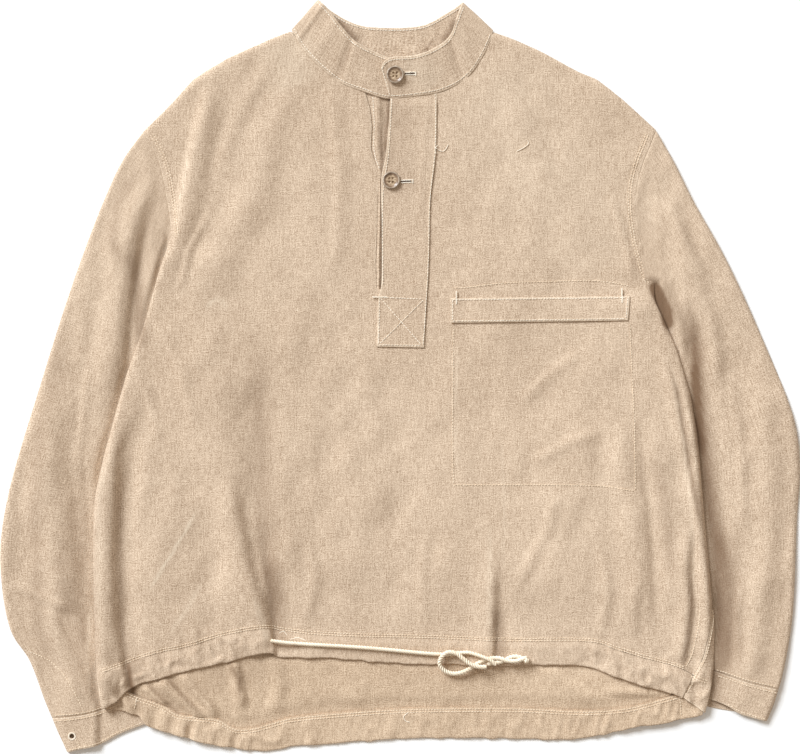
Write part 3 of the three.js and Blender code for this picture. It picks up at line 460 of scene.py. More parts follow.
def patch(bottom, top, left, right, across, up):
    """The blend of four edges over a patch: rows plus columns, less the blend of the corners."""
    a, u = across[None, :, None], up[:, None, None]
    rows = (1 - u) * bottom(across)[None] + u * top(across)[None]
    columns = (1 - a) * left(up)[:, None] + a * right(up)[:, None]
    ends = np.array([0.0, 1.0])
    lower, upper = bottom(ends), top(ends)
    corners = (1 - u) * ((1 - a) * lower[0] + a * lower[1]) + u * ((1 - a) * upper[0] + a * upper[1])
    return rows + columns - corners


def outline_x(rows, y):
    """x of an outline at a height y, with straight lines between its rows."""
    table = np.array(sorted(((row[1], row[0]) for row in rows)), float)
    return np.interp(y, table[:, 0], table[:, 1])


def outline_y(rows, x):
    """y of an outline at a place x."""
    return outline_x([(b, a) for a, b in rows], x)


def smooth(value):
    """3t^2 - 2t^3 between 0 and 1."""
    t = np.clip(value, 0, 1)
    return t * t * (3 - 2 * t)


def round_edge(distance, radius):
    """A quarter round that climbs from 0 at the edge to 1 at the radius."""
    rest = 1 - np.clip(distance / radius, 0, 1)
    return np.sqrt(1 - rest * rest)


def line_field(x, y, line):
    """Signed distance to a broken line, positive on the viewer's right of a line that runs down,
    and the share of the line that is passed at the nearest point."""
    nearest, along = np.full(np.shape(x), 1e9), np.zeros(np.shape(x))
    side = np.ones(np.shape(x))
    for index in range(1, len(line)):
        (x0, y0), (x1, y1) = line[index - 1], line[index]
        dx, dy = x1 - x0, y1 - y0
        held = np.clip(((x - x0) * dx + (y - y0) * dy) / (dx * dx + dy * dy), 0, 1)
        away_x, away_y = x - x0 - held * dx, y - y0 - held * dy
        distance = np.hypot(away_x, away_y)
        closer = distance < nearest
        nearest = np.where(closer, distance, nearest)
        along = np.where(closer, (index - 1 + held) / (len(line) - 1), along)
        side = np.where(closer, np.sign(away_y * dx - away_x * dy), side)
    return nearest * side, along


def fold_height(folds, x, y):
    """Sum of the folds: each is a ridge 3t^2 - 2t^3 across its line, with a width of its own on
    either side, that fades at the line's two ends."""
    total = np.zeros(np.shape(x))
    for _, left, right, height, line in folds:
        distance, along = line_field(x, y, line)
        width = np.where(distance < 0, left, right)
        total += (height * smooth(1 - np.abs(distance) / width)
                  * smooth(4 * np.minimum(along, 1 - along) + 0.25))
    return total


def rumple(x, y, pitch, seed, turn=0.0, stretch=1.0):
    """Random heights from -1 to 1 on a lattice of that pitch, blended by 6t^5 - 15t^4 + 10t^3.
    The lattice is turned by turn radians and longer by stretch along its own second axis."""
    table = np.random.default_rng(seed).uniform(-1, 1, (401, 401))
    u = (x * math.cos(turn) + y * math.sin(turn)) / pitch + 200.5
    v = (y * math.cos(turn) - x * math.sin(turn)) / (pitch * stretch) + 200.5
    column, row = np.floor(u).astype(int) % 400, np.floor(v).astype(int) % 400
    s, t = u - np.floor(u), v - np.floor(v)
    s, t = s ** 3 * (s * (6 * s - 15) + 10), t ** 3 * (t * (6 * t - 15) + 10)
    low = table[row, column] * (1 - s) + table[row, column + 1] * s
    high = table[row + 1, column] * (1 - s) + table[row + 1, column + 1] * s
    return low * (1 - t) + high * t


OUTLINE_LEFT = SIDE_LEFT + [(-310, -325), (-306, -340)]
OUTLINE_RIGHT = SIDE_RIGHT[:-1] + WRAP_EDGE[1:]
UNDERARM_LEFT = ARMHOLE_LEFT[-1][1]
UNDERARM_RIGHT = ARMHOLE_RIGHT[-1][1]
TUCKED_LEFT = SLEEVE_LEFT["inner"] + CUFF_LEFT["inner"][1:]
TUCKED_RIGHT = SLEEVE_RIGHT["inner"] + CUFF_RIGHT["inner"][1:]


def inside_body(x, y):
    """Distance inside the body's outline on either side, below the underarm."""
    return np.minimum(x - outline_x(OUTLINE_LEFT, y), outline_x(OUTLINE_RIGHT, y) - x)


def underarm(x):
    """y of the underarm on the side where x lies."""
    return np.where(x < 0, UNDERARM_LEFT, UNDERARM_RIGHT)


def sleeve_lift(x, y):
    """How far the body is raised by the sleeve that lies under its side."""
    past = np.where(x < 0, x - outline_x(TUCKED_LEFT, y), outline_x(TUCKED_RIGHT, y) - x)
    return (LIFT * smooth((underarm(x) - y) / LIFT_RUN_DOWN)
            * smooth((LIFT_REACH - past) / LIFT_RUN_IN))


def dents(rows, x, y):
    """Sum of random lattices, each times its own height."""
    return sum(height * rumple(x, y, *lattice) for height, *lattice in rows)


def creases(row, x, y):
    """Crisp creases: half less the size of random heights, so that a ridge runs where they pass 0."""
    height, *lattice = row
    return height * (0.5 - np.abs(rumple(x, y, *lattice)) * CREASE_SHARPNESS)


def crumple(x, y):
    """Unevenness of washed linen: soft dents and a few drawn lines everywhere, and higher upright
    waves where nothing is sewn on, fuller below the chest."""
    off_hem = smooth((y - WAVES["hem_y"]) / WAVES["hem_run"])
    from_neck = np.hypot(x - WAVES["neck_x"], np.minimum(y - WAVES["neck_y"], 0) / WAVES["neck_stretch"])
    off_neck = smooth((from_neck - WAVES["neck_radius"]) / WAVES["neck_run"])
    share = WAVES["share"] + WAVES["more"] * smooth((WAVES["more_from_y"] - y) / WAVES["more_run"])
    return (dents(BODY_DENTS, x, y) + creases(BODY_CREASES, x, y) + WAVES["low"]
            + off_hem * off_neck * (share * dents(BODY_WAVES, x, y) + WAVES["height"]))


def hem_pucker(x, y):
    """Short ripples and creases across the drawn hem of the front, strongest at its two ends."""
    pucker = FRONT_PUCKER
    ends = np.clip(smooth((pucker["left_x"] - x) / pucker["left_run"])
                   + smooth((x - pucker["right_x"]) / pucker["right_run"]), 0, 1)
    reach = smooth((outline_y(FRONT_CASING_TOP, x) + pucker["above"] - y) / pucker["run"])
    return ((pucker["middle"] + pucker["ends"] * ends) * reach
            * (dents(HEM_RIPPLES, x, y) + creases(HEM_CREASES, x, y)))


def back_height(x, y):
    """The back's middle surface: on the ground, and over the sleeves at its sides."""
    return BACK_Z + sleeve_lift(x, y)


def front_height(x, y):
    """The front's middle surface: raised over the back, folded, and rounded down at its sides."""
    lift = sleeve_lift(x, y)
    over_tail = smooth((OVER_TAIL_Y - y) / 14) * smooth((np.abs(x) - OVER_TAIL_X) / 25)
    relief = fold_height(BODY_FOLDS, x, y) + crumple(x, y) + hem_pucker(x, y)
    free = FRONT_Z + lift + np.maximum(relief, DEEPEST - over_tail) + HEM_RISE * over_tail
    edge = SIDE_EDGE_Z + lift + 2 * HEM_RISE * over_tail
    radius = np.where(x < 0, ROLL_RADIUS_LEFT, ROLL_RADIUS_RIGHT)
    rolled = smooth((underarm(x) + np.where(x < 0, 0, ROLL_EARLY_RIGHT) - y) / ROLL_RUN)
    side = 1 - rolled * (1 - round_edge(inside_body(x, y), radius))
    shoulder_y = np.where(x < 0, outline_y(SHOULDER_LEFT, x), outline_y(SHOULDER_RIGHT, x))
    over_neck = (x > NECK_FRONT[0][0]) & (x < NECK_FRONT[-1][0])
    top = np.where(over_neck, 1.0, round_edge((shoulder_y - y) * SHOULDER_COSINE, SHOULDER_RADIUS))
    return edge + (free - edge) * np.minimum(side, top)


def tail_height(x, y):
    """The back where it shows below the front's hem: it rises a little there, with folds and dents
    that are flatter near the front's hem."""
    shown = smooth((TAIL_SHOWS_Y - y) / 14)
    above_hem = y - outline_y(FRONT_HEM, x)
    off_casing = smooth((y - outline_y(BACK_CASING_TOP, x) - 3) / 12)
    rise = TAIL_RISE * (1 - smooth(above_hem / 6)) * off_casing
    relief = np.maximum(fold_height(TAIL_FOLDS, x, y) + dents(TAIL_DENTS, x, y), TAIL_DEEPEST)
    flatter = 1 - TAIL_FLATTER * smooth(above_hem / 9 + 1)
    return back_height(x, y) + shown * (rise + relief * flatter)


def front_hem_level(x, y):
    """The front's folded hem runs on from the front and rides over the tail's folds."""
    return np.maximum(front_height(x, y), tail_height(x, y) + CASING_SPREAD + CLOTH)


def tail_hem_level(x, y):
    """The tail's folded hem lies over the back, puckered along its whole length."""
    pucker = TAIL_PUCKER
    share = (pucker["middle"] + pucker["left"] * smooth((pucker["left_x"] - x) / pucker["run"])
             + pucker["right"] * smooth((x - pucker["right_x"]) / pucker["run"]))
    off = smooth((outline_y(BACK_CASING_TOP, x) - y) / pucker["run_down"])
    ripple = dents(TAIL_HEM_RIPPLES, x, y) + creases(TAIL_HEM_CREASES, x, y) + pucker["fullness"]
    level = back_height(x, y) + CASING_SPREAD + share * off * ripple
    return np.maximum(level, CASING_SPREAD + CLOTH / 2)


def tail_hem_top(x, y):
    """The upper layer of the tail's folded hem."""
    return tail_hem_level(x, y) + CASING_SPREAD


def wrap_edge(x, y):
    """The wrapped strip's outer edge, higher where its lower end lies free."""
    return back_height(x, y) + (1 - smooth((y - WRAP_FREE_Y) / WRAP_FREE_RUN)) * 2 * HEM_RISE


def wrap_top(x, y):
    """The wrapped strip lies on the front, or else just above its own edge."""
    return np.maximum(front_height(x, y), wrap_edge(x, y) + WRAP_STANDS)


def sleeve_height(x, y):
    """The sleeve's upper surface: full beside the body and pressed flat under it."""
    out = -inside_body(x, y)
    beside = smooth((out - PRESSED_BESIDE) / SLEEVE_RUN)
    free = np.maximum(beside, smooth((y - underarm(x) + PRESSED_BESIDE) / SLEEVE_RUN))
    relief = (fold_height(SLEEVE_FOLDS, x, y) + dents(SLEEVE_DENTS, x, y)
              + creases(SLEEVE_CREASES, x, y) + SLEEVE_FULLNESS)
    return TUCKED_Z + (SLEEVE_Z - TUCKED_Z + np.maximum(relief, DEEPEST)) * free


# Cloth as closed walls

EDGE_STEPS = (0, 0.3, 0.8, 1.6, 2.8, 4.4, 6.4, 9.0, 12.0)
FAR = 1000.0
THINNEST_EDGE = 0.3


def shares(width, step, edge=EDGE_STEPS):
    """Shares across a width: crowded towards both ends and even between them."""
    near = np.array(edge) / width
    count = max(1, math.ceil((1 - 2 * near[-1]) * width / step))
    middle = np.linspace(near[-1], 1 - near[-1], count + 1)
    return np.concatenate([near[:-1], middle, 1 - near[:-1][::-1]])


def grid_normals(points, closed=False):
    """Unit normals of a grid: the cross product of the central differences along its two ways."""
    up = np.gradient(points, axis=0)
    if closed:
        across = (np.roll(points, -1, axis=1) - np.roll(points, 1, axis=1)) / 2
    else:
        across = np.gradient(points, axis=1)
    normal = np.cross(across, up)
    return normal / np.maximum(np.linalg.norm(normal, axis=-1, keepdims=True), 1e-9)


def travelled(points, axis=0):
    """Length passed along a row of points, summed from their distances."""
    steps = np.linalg.norm(np.diff(points, axis=axis), axis=-1)
    return np.concatenate([np.zeros_like(np.take(steps, [0], axis)), np.cumsum(steps, axis)], axis)


def edge_distance(points, closed=False, sewn=()):
    """Distance of each point from the grid's open edges, measured along its rows and columns. The
    first or last row doesn't count where it is sewn to another piece."""
    down = travelled(points)
    away = np.full(points.shape[:2], FAR)
    if "first" not in sewn:
        away = np.minimum(away, down)
    if "last" not in sewn:
        away = np.minimum(away, down[-1:] - down)
    if not closed:
        over = travelled(points, 1)
        away = np.minimum(away, np.minimum(over, over[:, -1:] - over))
    return away


def wall(points, thickness, closed, kept, away):
    """A closed wall round a grid. Its skins stand half a thickness off the grid along the normals,
    thinner by a quarter round within half a thickness of an open edge, and a rim joins them
    wherever a kept cell has no neighbour. Gives the corners, the faces, and for each corner the
    index of its grid point and its distance from the edge."""
    rows, columns = points.shape[:2]
    cell_columns = columns if closed else columns - 1
    if kept is None:
        kept = np.ones((rows - 1, cell_columns), bool)
    half = thickness / 2 * np.maximum(round_edge(away, thickness / 2), THINNEST_EDGE)
    normals = grid_normals(points, closed)
    skins = np.stack([points + normals * half[..., None], points - normals * half[..., None]])
    number = np.arange(2 * rows * columns).reshape(2, rows, columns)
    if closed:
        number = np.concatenate([number, number[:, :, :1]], axis=2)
    a, b = number[:, :-1, :-1], number[:, :-1, 1:]
    c, d = number[:, 1:, 1:], number[:, 1:, :-1]
    faces = [np.stack([a[0], b[0], c[0], d[0]], -1)[kept], np.stack([a[1], d[1], c[1], b[1]], -1)[kept]]
    beside = np.pad(kept, 1)
    if closed:
        beside[1:-1, 0], beside[1:-1, -1] = kept[:, -1], kept[:, 0]
    rims = (
        (beside[:-2, 1:-1], a[0], a[1], b[1], b[0]),
        (beside[2:, 1:-1], c[0], c[1], d[1], d[0]),
        (beside[1:-1, :-2], d[0], d[1], a[1], a[0]),
        (beside[1:-1, 2:], b[0], b[1], c[1], c[0]),
    )
    for neighbour, *corner in rims:
        faces.append(np.stack(corner, -1)[kept & ~neighbour])
    faces = np.concatenate(faces)
    used, faces = np.unique(faces, return_inverse=True)
    faces = faces.reshape(-1, 4)
    corners = skins.reshape(-1, 3)[used]
    if signed_volume(corners, faces) < 0:
        faces = faces[:, ::-1]
    point = used % (rows * columns)
    return corners, faces, point, away.reshape(-1)[point]


def signed_volume(corners, faces):
    """Sum over the faces of the triple product of their corners."""
    total = 0.0
    for first, second, third in ((0, 1, 2), (0, 2, 3)):
        a, b, c = corners[faces[:, first]], corners[faces[:, second]], corners[faces[:, third]]
        total += float(np.einsum("ij,ij->i", a, np.cross(b, c)).sum())
    return total


SHARP = math.radians(55)


def add_mesh(name, corners, faces, material, uv=None, marks=None):
    """A mesh object at the origin from corners in millimetres and faces of four corners; uv is in
    millimetres of cloth and is kept in metres. marks are named values from 0 to 1 on the corners."""
    mesh = bpy.data.meshes.new(name)
    mesh.from_pydata((corners * MM).tolist(), [], faces.tolist())
    if uv is not None:
        layer = mesh.uv_layers.new(name="cloth")
        loops = np.zeros(len(mesh.loops), np.int32)
        mesh.loops.foreach_get("vertex_index", loops)
        layer.data.foreach_set("uv", (uv[loops] * MM).astype(np.float32).ravel())
    for mark, values in (marks or {}).items():
        attribute = mesh.attributes.new(mark, "FLOAT", "POINT")
        attribute.data.foreach_set("value", np.asarray(values, np.float32))
    mesh.shade_smooth()
    mesh.set_sharp_from_angle(angle=SHARP)
    mesh.update()
    mesh.materials.append(material)
    piece = bpy.data.objects.new(name, mesh)
    bpy.context.scene.collection.objects.link(piece)
    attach(piece, "root")
    return piece


EDGE_WEAR_RUN = 2.4

# Wear along folds and edges, and other pale marks: half width, strength, line
PALE_LINES = [
    (1.2, 0.9, [(-207, -136), (-231, -176), (-258, -220)]),
    (2.2, 0.3, [(-205, -212), (-218, -238), (-236, -262)]),
    (60, 0.16, [(70, 330), (130, 250), (200, 170), (240, 120)]),
    (22, 0.3, [(-122, 352), (-112, 324), (-100, 296)]),
    (14, 0.3, [(2, 326), (20, 312), (38, 298)]),
    (2.0, 0.3, [(92, -150), (92, -200), (91, -270)]),
    (2.2, 0.4, [(-150, -225), (-141, -252), (-134, -275)]),
    (3.0, 0.3, [(-302, -80), (-309, -140), (-309, -260)]),
    (1.8, 0.3, [(279, 19), (289, -55), (299, -140), (300, -240)]),
    (1.5, 0.3, [(58, 40), (57, -40), (58, -108)]),
    (2.2, 0.25, [(-216, 240), (-224, 190), (-229, 150)]),
    (1.5, 0.3, [(-318, -230), (-322, -280), (-318, -330)]),
    (1.5, 0.25, [(312, -60), (322, -150), (330, -240)]),
    (1.4, 0.25, [(104, -60), (108, -120), (106, -200)]),
]
# Painted shade in the hollows, troughs, pits and corners where shadow falls: as the folds, with a
# strength in place of the height. Over 1 it makes the mark's middle even
PAINTED_SHADE_HOLLOWS = [
    ("beside the right side", 7, 19, 0.84, [(300, 70), (303, 30), (303, 0), (306, -44), (311.5, -85),
                                            (317, -127), (322, -168), (326, -209), (328, -250),
                                            (327, -291), (325, -330)]),
    ("right trough, lower", 12, 20, 0.45, [(330, -150), (341, -209), (343, -250), (338, -310)]),
    ("right trough, upper", 8, 8, 0.7, [(302, 14), (304, -16), (306.5, -45), (310, -80)]),
    ("right underarm", 13, 15, 0.36, [(266, 98), (282, 74), (296, 50), (303, 15)]),
    ("right belly hollow", 12, 14, 0.3, [(260, -75), (269, -120), (274, -165), (279, -205)]),
    ("long hollow", 18, 22, 0.3, [(-147, 40), (-143, -60), (-140, -140), (-133, -200), (-124, -255)]),
    ("left armhole", 10, 12, 0.3, [(-268, 215), (-290, 178), (-297, 140), (-282, 112)]),
    ("left underarm", 12, 12, 0.5, [(-276, 134), (-270, 92), (-268, 60), (-263, 25)]),
    ("left sleeve, outer side", 14, 17, 0.28, [(-348, 70), (-352, 5), (-371, -50), (-376, -120),
                                               (-374, -200), (-371, -260), (-350, -305)]),
    ("tail, left", 26, 26, 0.22, [(-262, -322), (-215, -316), (-165, -306), (-120, -298)]),
    ("recess at the hem", 5, 15, 0.5, [(97, -236), (99, -262), (101, -292)]),
    ("upper placket", 22, 26, 0.14, [(-8, 305), (-4, 262), (0, 225), (2, 180)]),
    ("right pleat", 2.5, 8, 0.55, [(279, 0), (284, -20), (288, -44), (292, -65), (297, -97), (302, -128),
                                  (308, -158)]),
    ("right lower pleat", 6, 5, 0.55, [(295, -190), (299, -233), (298, -255), (293, -285), (289, -305)]),
    ("underarm", 9, 9, 2.6, [(259, 98), (266, 82), (273.5, 67), (276, 48)]),
    ("left hem corner", 14, 14, 0.28, [(-268, -282), (-272, -305), (-272, -330), (-262, -352)]),
    ("right cuff beside the body", 10, 16, 0.25, [(318, -290), (322, -315), (326, -345)]),
    ("left sleeve, elbow", 16, 16, 0.2, [(-352, -180), (-346, -216), (-336, -250)]),
    ("left sleeve beside the body", 24, 12, 0.24, [(-326, -110), (-326, -170), (-326, -250), (-330, -310)]),
    ("left edge of the body", 6, 6, 0.26, [(-302, -90), (-310, -168), (-310, -250), (-307, -310)]),
    ("left trough", 10, 9, 0.26, [(-287, -110), (-288, -168), (-286, -250), (-280, -300)]),
    ("pit at the left hem", 5, 6, 0.8, [(-281, -290), (-278, -306), (-276, -318), (-271, -330)]),
    ("beside the hem crease", 5, 24, 0.4, [(-141, -180), (-135, -215), (-131, -245), (-128, -276)]),
    ("tail fold", 1.8, 6, 0.5, [(-264, -312), (-246, -330), (-226, -348)]),
    ("tail second fold", 1.8, 6, 0.5, [(-243, -306), (-224, -328), (-204, -348)]),
    ("tail third fold", 5, 1.8, 0.5, [(-176, -290), (-165, -310), (-164, -332)]),
    ("inside the collar, left", 1.2, 9, 0.8, [(-66, 368), (-59, 360), (-52, 352), (-44, 344)]),
    ("inside the collar, right", 8, 1.2, 0.65, [(58, 368), (54, 357), (49, 349), (43, 342.5)]),
    ("crease inside the collar", 2.5, 2.5, 0.7, [(34, 348), (30, 341), (26.5, 335)]),
    ("left step of the collar", 5, 1, 0.5, [(-46, 347), (-50, 336), (-54, 324), (-59, 311)]),
    ("crease of the button strip", 2.5, 2.5, 0.5, [(-24, 266), (-21.5, 252), (-20, 238), (-18, 222)]),
    ("beside the free edge", 5, 0.8, 0.75, [(-9.8, 293), (-11.9, 262), (-13.6, 245), (-15.4, 226)]),
]
WORN_ARCH = {"x": -188, "y": 79, "radius": 9.5, "half_width": 3.2, "strength": 0.6}


def pale_marks(x, y):
    """Strength of the pale marks: each fades as 3t^2 - 2t^3 across its line and at its ends."""
    total = np.zeros(np.shape(x))
    for half_width, strength, line in PALE_LINES:
        distance, along = line_field(x, y, line)
        total += (strength * smooth(1 - np.abs(distance) / (2 * half_width))
                  * smooth(5 * np.minimum(along, 1 - along) + 0.1))
    arch = WORN_ARCH
    from_centre = np.hypot(x - arch["x"], y - arch["y"] + arch["radius"])
    ring = smooth(1 - np.abs(from_centre - arch["radius"]) / arch["half_width"])
    upper = smooth((y - arch["y"] + arch["radius"] + 3) / 8)
    return np.clip(total + arch["strength"] * ring * upper, 0, 1)


def add_cloth(name, node, points, uv, material, worn_edge, thickness=CLOTH, closed=False,
              kept=None, away=None, sewn=()):
    """A piece of cloth from its grid, in place of its plain node, with its edge wear, pale marks and
    painted shade in its hollows."""
    if away is None:
        away = edge_distance(points, closed, sewn)
    corners, faces, point, off = wall(points, thickness, closed, kept, away)
    place = points.reshape(-1, 3)[point]
    worn = worn_edge * smooth(1 - off / EDGE_WEAR_RUN) + pale_marks(place[:, 0], place[:, 1])
    # Painted shade: how far the hollows' table darkens each corner of the cloth
    soil_and_painted_shade = fold_height(PAINTED_SHADE_HOLLOWS, place[:, 0], place[:, 1])
    marks = {"pale": np.clip(worn, 0, 1), "soil_and_painted_shade": np.clip(soil_and_painted_shade, 0, 1)}
    piece = add_mesh(name, corners, faces, material, uv.reshape(-1, 2)[point], marks)
    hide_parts(node)
    return piece


def with_height(flat, height):
    """The grid with its z from a height function of x and y."""
    points = flat.copy()
    points[..., 2] = height(points[..., 0], points[..., 1])
    return points


# Body

def slit_columns(flat):
    """Moves the grid so that one column follows each edge of the front's slit. Between the edges, and
    over a few columns beyond them, x moves in proportion. Rows above the slit's foot lose their
    cells between the two edges. Gives the grid, the cells that are left, both columns and the row
    of the foot."""
    rows, columns = flat.shape[:2]
    foot = int(np.argmin(np.abs(flat[:, columns // 2, 1] - SLIT_FOOT_Y)))
    left = int(np.argmin(np.abs(flat[foot, :, 0] - SLIT_LEFT[-1][0])))
    right = int(np.argmin(np.abs(flat[foot, :, 0] - SLIT_RIGHT[-1][0])))
    index = np.arange(columns)
    for row in range(foot - SLIT_ROWS, rows):
        x, y = flat[row, :, 0].copy(), flat[row, :, 1]
        share = float(smooth((row - foot + SLIT_ROWS) / SLIT_ROWS))
        want_left = float(outline_x(SLIT_LEFT, y[left]))
        want_right = float(outline_x(SLIT_RIGHT, y[right]))
        keys = [left - SLIT_COLUMNS, left, right, right + SLIT_COLUMNS]
        shift = [0, want_left - x[left], want_right - x[right], 0]
        flat[row, :, 0] = x + share * np.interp(index, keys, shift)
    kept = np.ones((rows - 1, columns - 1), bool)
    kept[foot:, left:right] = False
    return flat, kept, left, right, foot


def panel(bottom, neck, right_curves, right_breaks, across, up):
    """A panel's grid: the blend of its hem, its shoulders with the neck, and its two sides."""
    return patch(
        curve(bottom),
        chain([curve(SHOULDER_LEFT), curve(neck), curve(SHOULDER_RIGHT)], [*NECK_BREAKS, 1]),
        chain([curve(SIDE_LEFT[::-1]), curve(ARMHOLE_LEFT[::-1])], [UNDERARM_LEFT_UP, 1]),
        chain([curve(rows[::-1]) for rows in right_curves], right_breaks), across, up)


def build_front(linen):
    """The front: one panel with a slit at the neck, sewn to its casing at the foot."""
    across, up = (shares(BODY_SIZE, step) for step in FRONT_STEPS)
    flat = panel(FRONT_CASING_TOP, NECK_FRONT, (SEAM_RIGHT, SIDE_RIGHT, ARMHOLE_RIGHT),
                 [WRAP_UP, UNDERARM_RIGHT_UP, 1], across, up)
    flat, kept, left, right, foot = slit_columns(flat)
    slit = np.minimum(np.abs(flat[..., 0] - flat[:, left:left + 1, 0]),
                      np.abs(flat[..., 0] - flat[:, right:right + 1, 0]))
    slit[:foot] = FAR
    points = with_height(flat, front_height)
    away = np.minimum(edge_distance(points, sewn=("first",)), slit)
    return add_cloth("front_cloth", "front", points, flat[..., :2], linen, 0.25, kept=kept, away=away)


def build_back(linen):
    """The back: one panel, with finer rows at its foot, where the tail shows."""
    across, coarse = (shares(BODY_SIZE, step) for step in BACK_STEPS)
    up = np.concatenate([np.linspace(0, TAIL_SHARE, TAIL_ROWS), coarse[coarse > TAIL_SHARE + 0.002]])
    flat = panel(BACK_CASING_TOP, NECK_BACK, (BACK_SIDE_RIGHT, ARMHOLE_RIGHT), [UNDERARM_RIGHT_UP, 1],
                 across, up)
    return add_cloth("back_cloth", "back", with_height(flat, tail_height), flat[..., :2], linen, 0.1)


def build_wrap(linen):
    """The strip of the back that comes round the side and over to the seam at the right hem: from
    its edge it turns up by a quarter round."""
    across = shares(WRAP_WIDTH, WRAP_STEPS[0], EDGE_STEPS[:4])
    up = shares(WRAP_LENGTH, WRAP_STEPS[1])
    flat = patch(curve(WRAP_HEM), curve([WRAP_SEAM[0], WRAP_EDGE[0]]), curve(WRAP_SEAM[::-1]),
                 curve(WRAP_EDGE[::-1]), across, up)
    x, y = flat[..., 0], flat[..., 1]
    edge, turned = wrap_edge(x, y), round_edge(outline_x(WRAP_EDGE, y) - x, WRAP_RADIUS)
    points = flat.copy()
    points[..., 2] = edge + (wrap_top(x, y) - edge) * turned
    return add_cloth("back_wrap", "back", points, flat[..., :2], linen, 0.55)


def build_strip(node, rows, height, linen, width=PLACKET_WIDTH, step=STRIP_STEP, worn_edge=0.6):
    """A strip over or under the front: straight across between its two long edges, at a height
    taken from the front's and moved along it."""
    one, other = curve([row[:2] for row in rows]), curve([row[2:] for row in rows])
    length = float(np.linalg.norm(np.subtract(rows[-1][:2], rows[0][:2])))
    across, up = shares(width, step)[None, :, None], shares(length, step)
    flat = (1 - across) * one(up)[:, None] + across * other(up)[:, None]
    return add_cloth(node + "_cloth", node, with_height(flat, height), flat[..., :2], linen, worn_edge)


def build_casing(name, node, seam_rows, hem_rows, level, step, linen, tuck):
    """A folded hem: over the panel's level, round the lower edge in a half circle and back under it.
    Near the seam the upper layer is lowered by tuck so that it runs on from the panel."""
    across = shares(CASING_LENGTH, step)
    seam, hem = curve(seam_rows)(across), curve(hem_rows)(across)
    up = np.concatenate([[0, 0.012, 0.035], np.linspace(0.07, 1, 15)])[:, None, None]
    middle = (1 - up) * seam[None] + up * hem[None]
    middle[..., 1] += up[..., 0] * dents(CASING_WAVER, middle[..., 0], middle[..., 1])
    middle = with_height(middle, level)
    down = np.linalg.norm(middle - middle[:1], axis=-1)[..., None]
    lift = np.array([0, 0, 1.0])
    over = middle + lift * (CASING_SPREAD - tuck * (1 - smooth(down / CASING_TUCK_RUN)))
    under = middle - lift * CASING_SPREAD
    out = middle[-1] - middle[-2]
    out /= np.linalg.norm(out, axis=-1, keepdims=True)
    angles = np.linspace(0, math.pi, 7)[1:-1, None, None]
    turn = middle[-1] + CASING_SPREAD * (np.sin(angles) * out + np.cos(angles) * lift)
    points = np.concatenate([over, turn, under[::-1]])
    down_cloth = points[0, :, 1] - travelled(points[:, 0])[:, None]
    return add_cloth(name, node, points, np.stack([points[..., 0], down_cloth], -1), linen, 0.35,
                     sewn=("first", "last"))


# Sleeves, cuffs and collar

def flat_tube(upper, lower, width, step):
    """A flattened tube: the upper half is raised by a quarter round from each side edge, and the
    lower half lies on the ground, turned up at the same edges."""
    across = shares(width, step)
    below = shares(width, step * 4, (0, 0.8, 2.5, 5))[1:-1][::-1]
    top = upper(across)
    bottom = lower(below)

    def edge_height(x, y):
        """Height of the side edge: one layer up, or half way to a thin sleeve's top."""
        return BACK_Z + np.minimum(1, (sleeve_height(x, y) - BACK_Z) / 2)

    for half, share, radius, target in ((top, across, SLEEVE_RADIUS, sleeve_height),
                                        (bottom, below, TURN_RADIUS, None)):
        x, y = half[..., 0], half[..., 1]
        start = edge_height(x, y)
        goal = target(x, y) if target else BACK_Z + 0 * x
        distance = np.minimum(share, 1 - share) * width
        half[..., 2] = start + (goal - start) * round_edge(distance[None], radius)
    points = np.concatenate([top, bottom], axis=1)
    round_way = np.concatenate([across * width, width + (1 - below) * width])
    return points, round_way


def build_sleeve(node, sleeve, armhole, outward, linen):
    """A flattened tube whose upper end is tucked a little under the body's armhole edge and takes
    the body's height there."""
    seam = [(x - outward * SEAM_TUCK, y) for x, y in armhole]
    up = shares(SLEEVE_LENGTH, SLEEVE_STEPS[1], (0, 0.8, 1.6, 2.8, 4.6, 7.0, 10.0))
    outer = curve([seam[0], *sleeve["outer"][1:]][::-1])
    inner = curve([seam[-1], *sleeve["inner"][1:]][::-1])

    def half(across):
        """One flat half of the tube."""
        return patch(curve(sleeve["cuff_seam"]), curve(seam), outer, inner, across, up)

    points, round_way = flat_tube(half, half, SLEEVE_WIDTH, SLEEVE_STEPS[0])
    from_seam = ((1 - up) * SLEEVE_LENGTH)[:, None]
    upper = points[:, :len(shares(SLEEVE_WIDTH, SLEEVE_STEPS[0]))]
    joined = (front_height(upper[..., 0], upper[..., 1])
              - SEAM_TUCK * (1 - smooth(from_seam / SEAM_TUCK_RUN)))
    above = smooth((upper[..., 2] - BACK_Z) / TURN_RADIUS)
    upper[..., 2] += (joined - upper[..., 2]) * (1 - smooth(from_seam / SEAM_BLEND)) * above
    upper[..., 2] -= SEAM_TUCK * (1 - smooth(up * SLEEVE_LENGTH / SEAM_TUCK_RUN))[:, None]
    uv = np.stack(np.broadcast_arrays(round_way[None], (up * SLEEVE_LENGTH)[:, None]), -1)
    return add_cloth(node + "_cloth", node, points, uv, linen, 0.25, closed=True)


EYELET = {"x": -337, "y": -369, "radius": 2.5, "pitch": 1.8}
EYELET_RINGS = 4


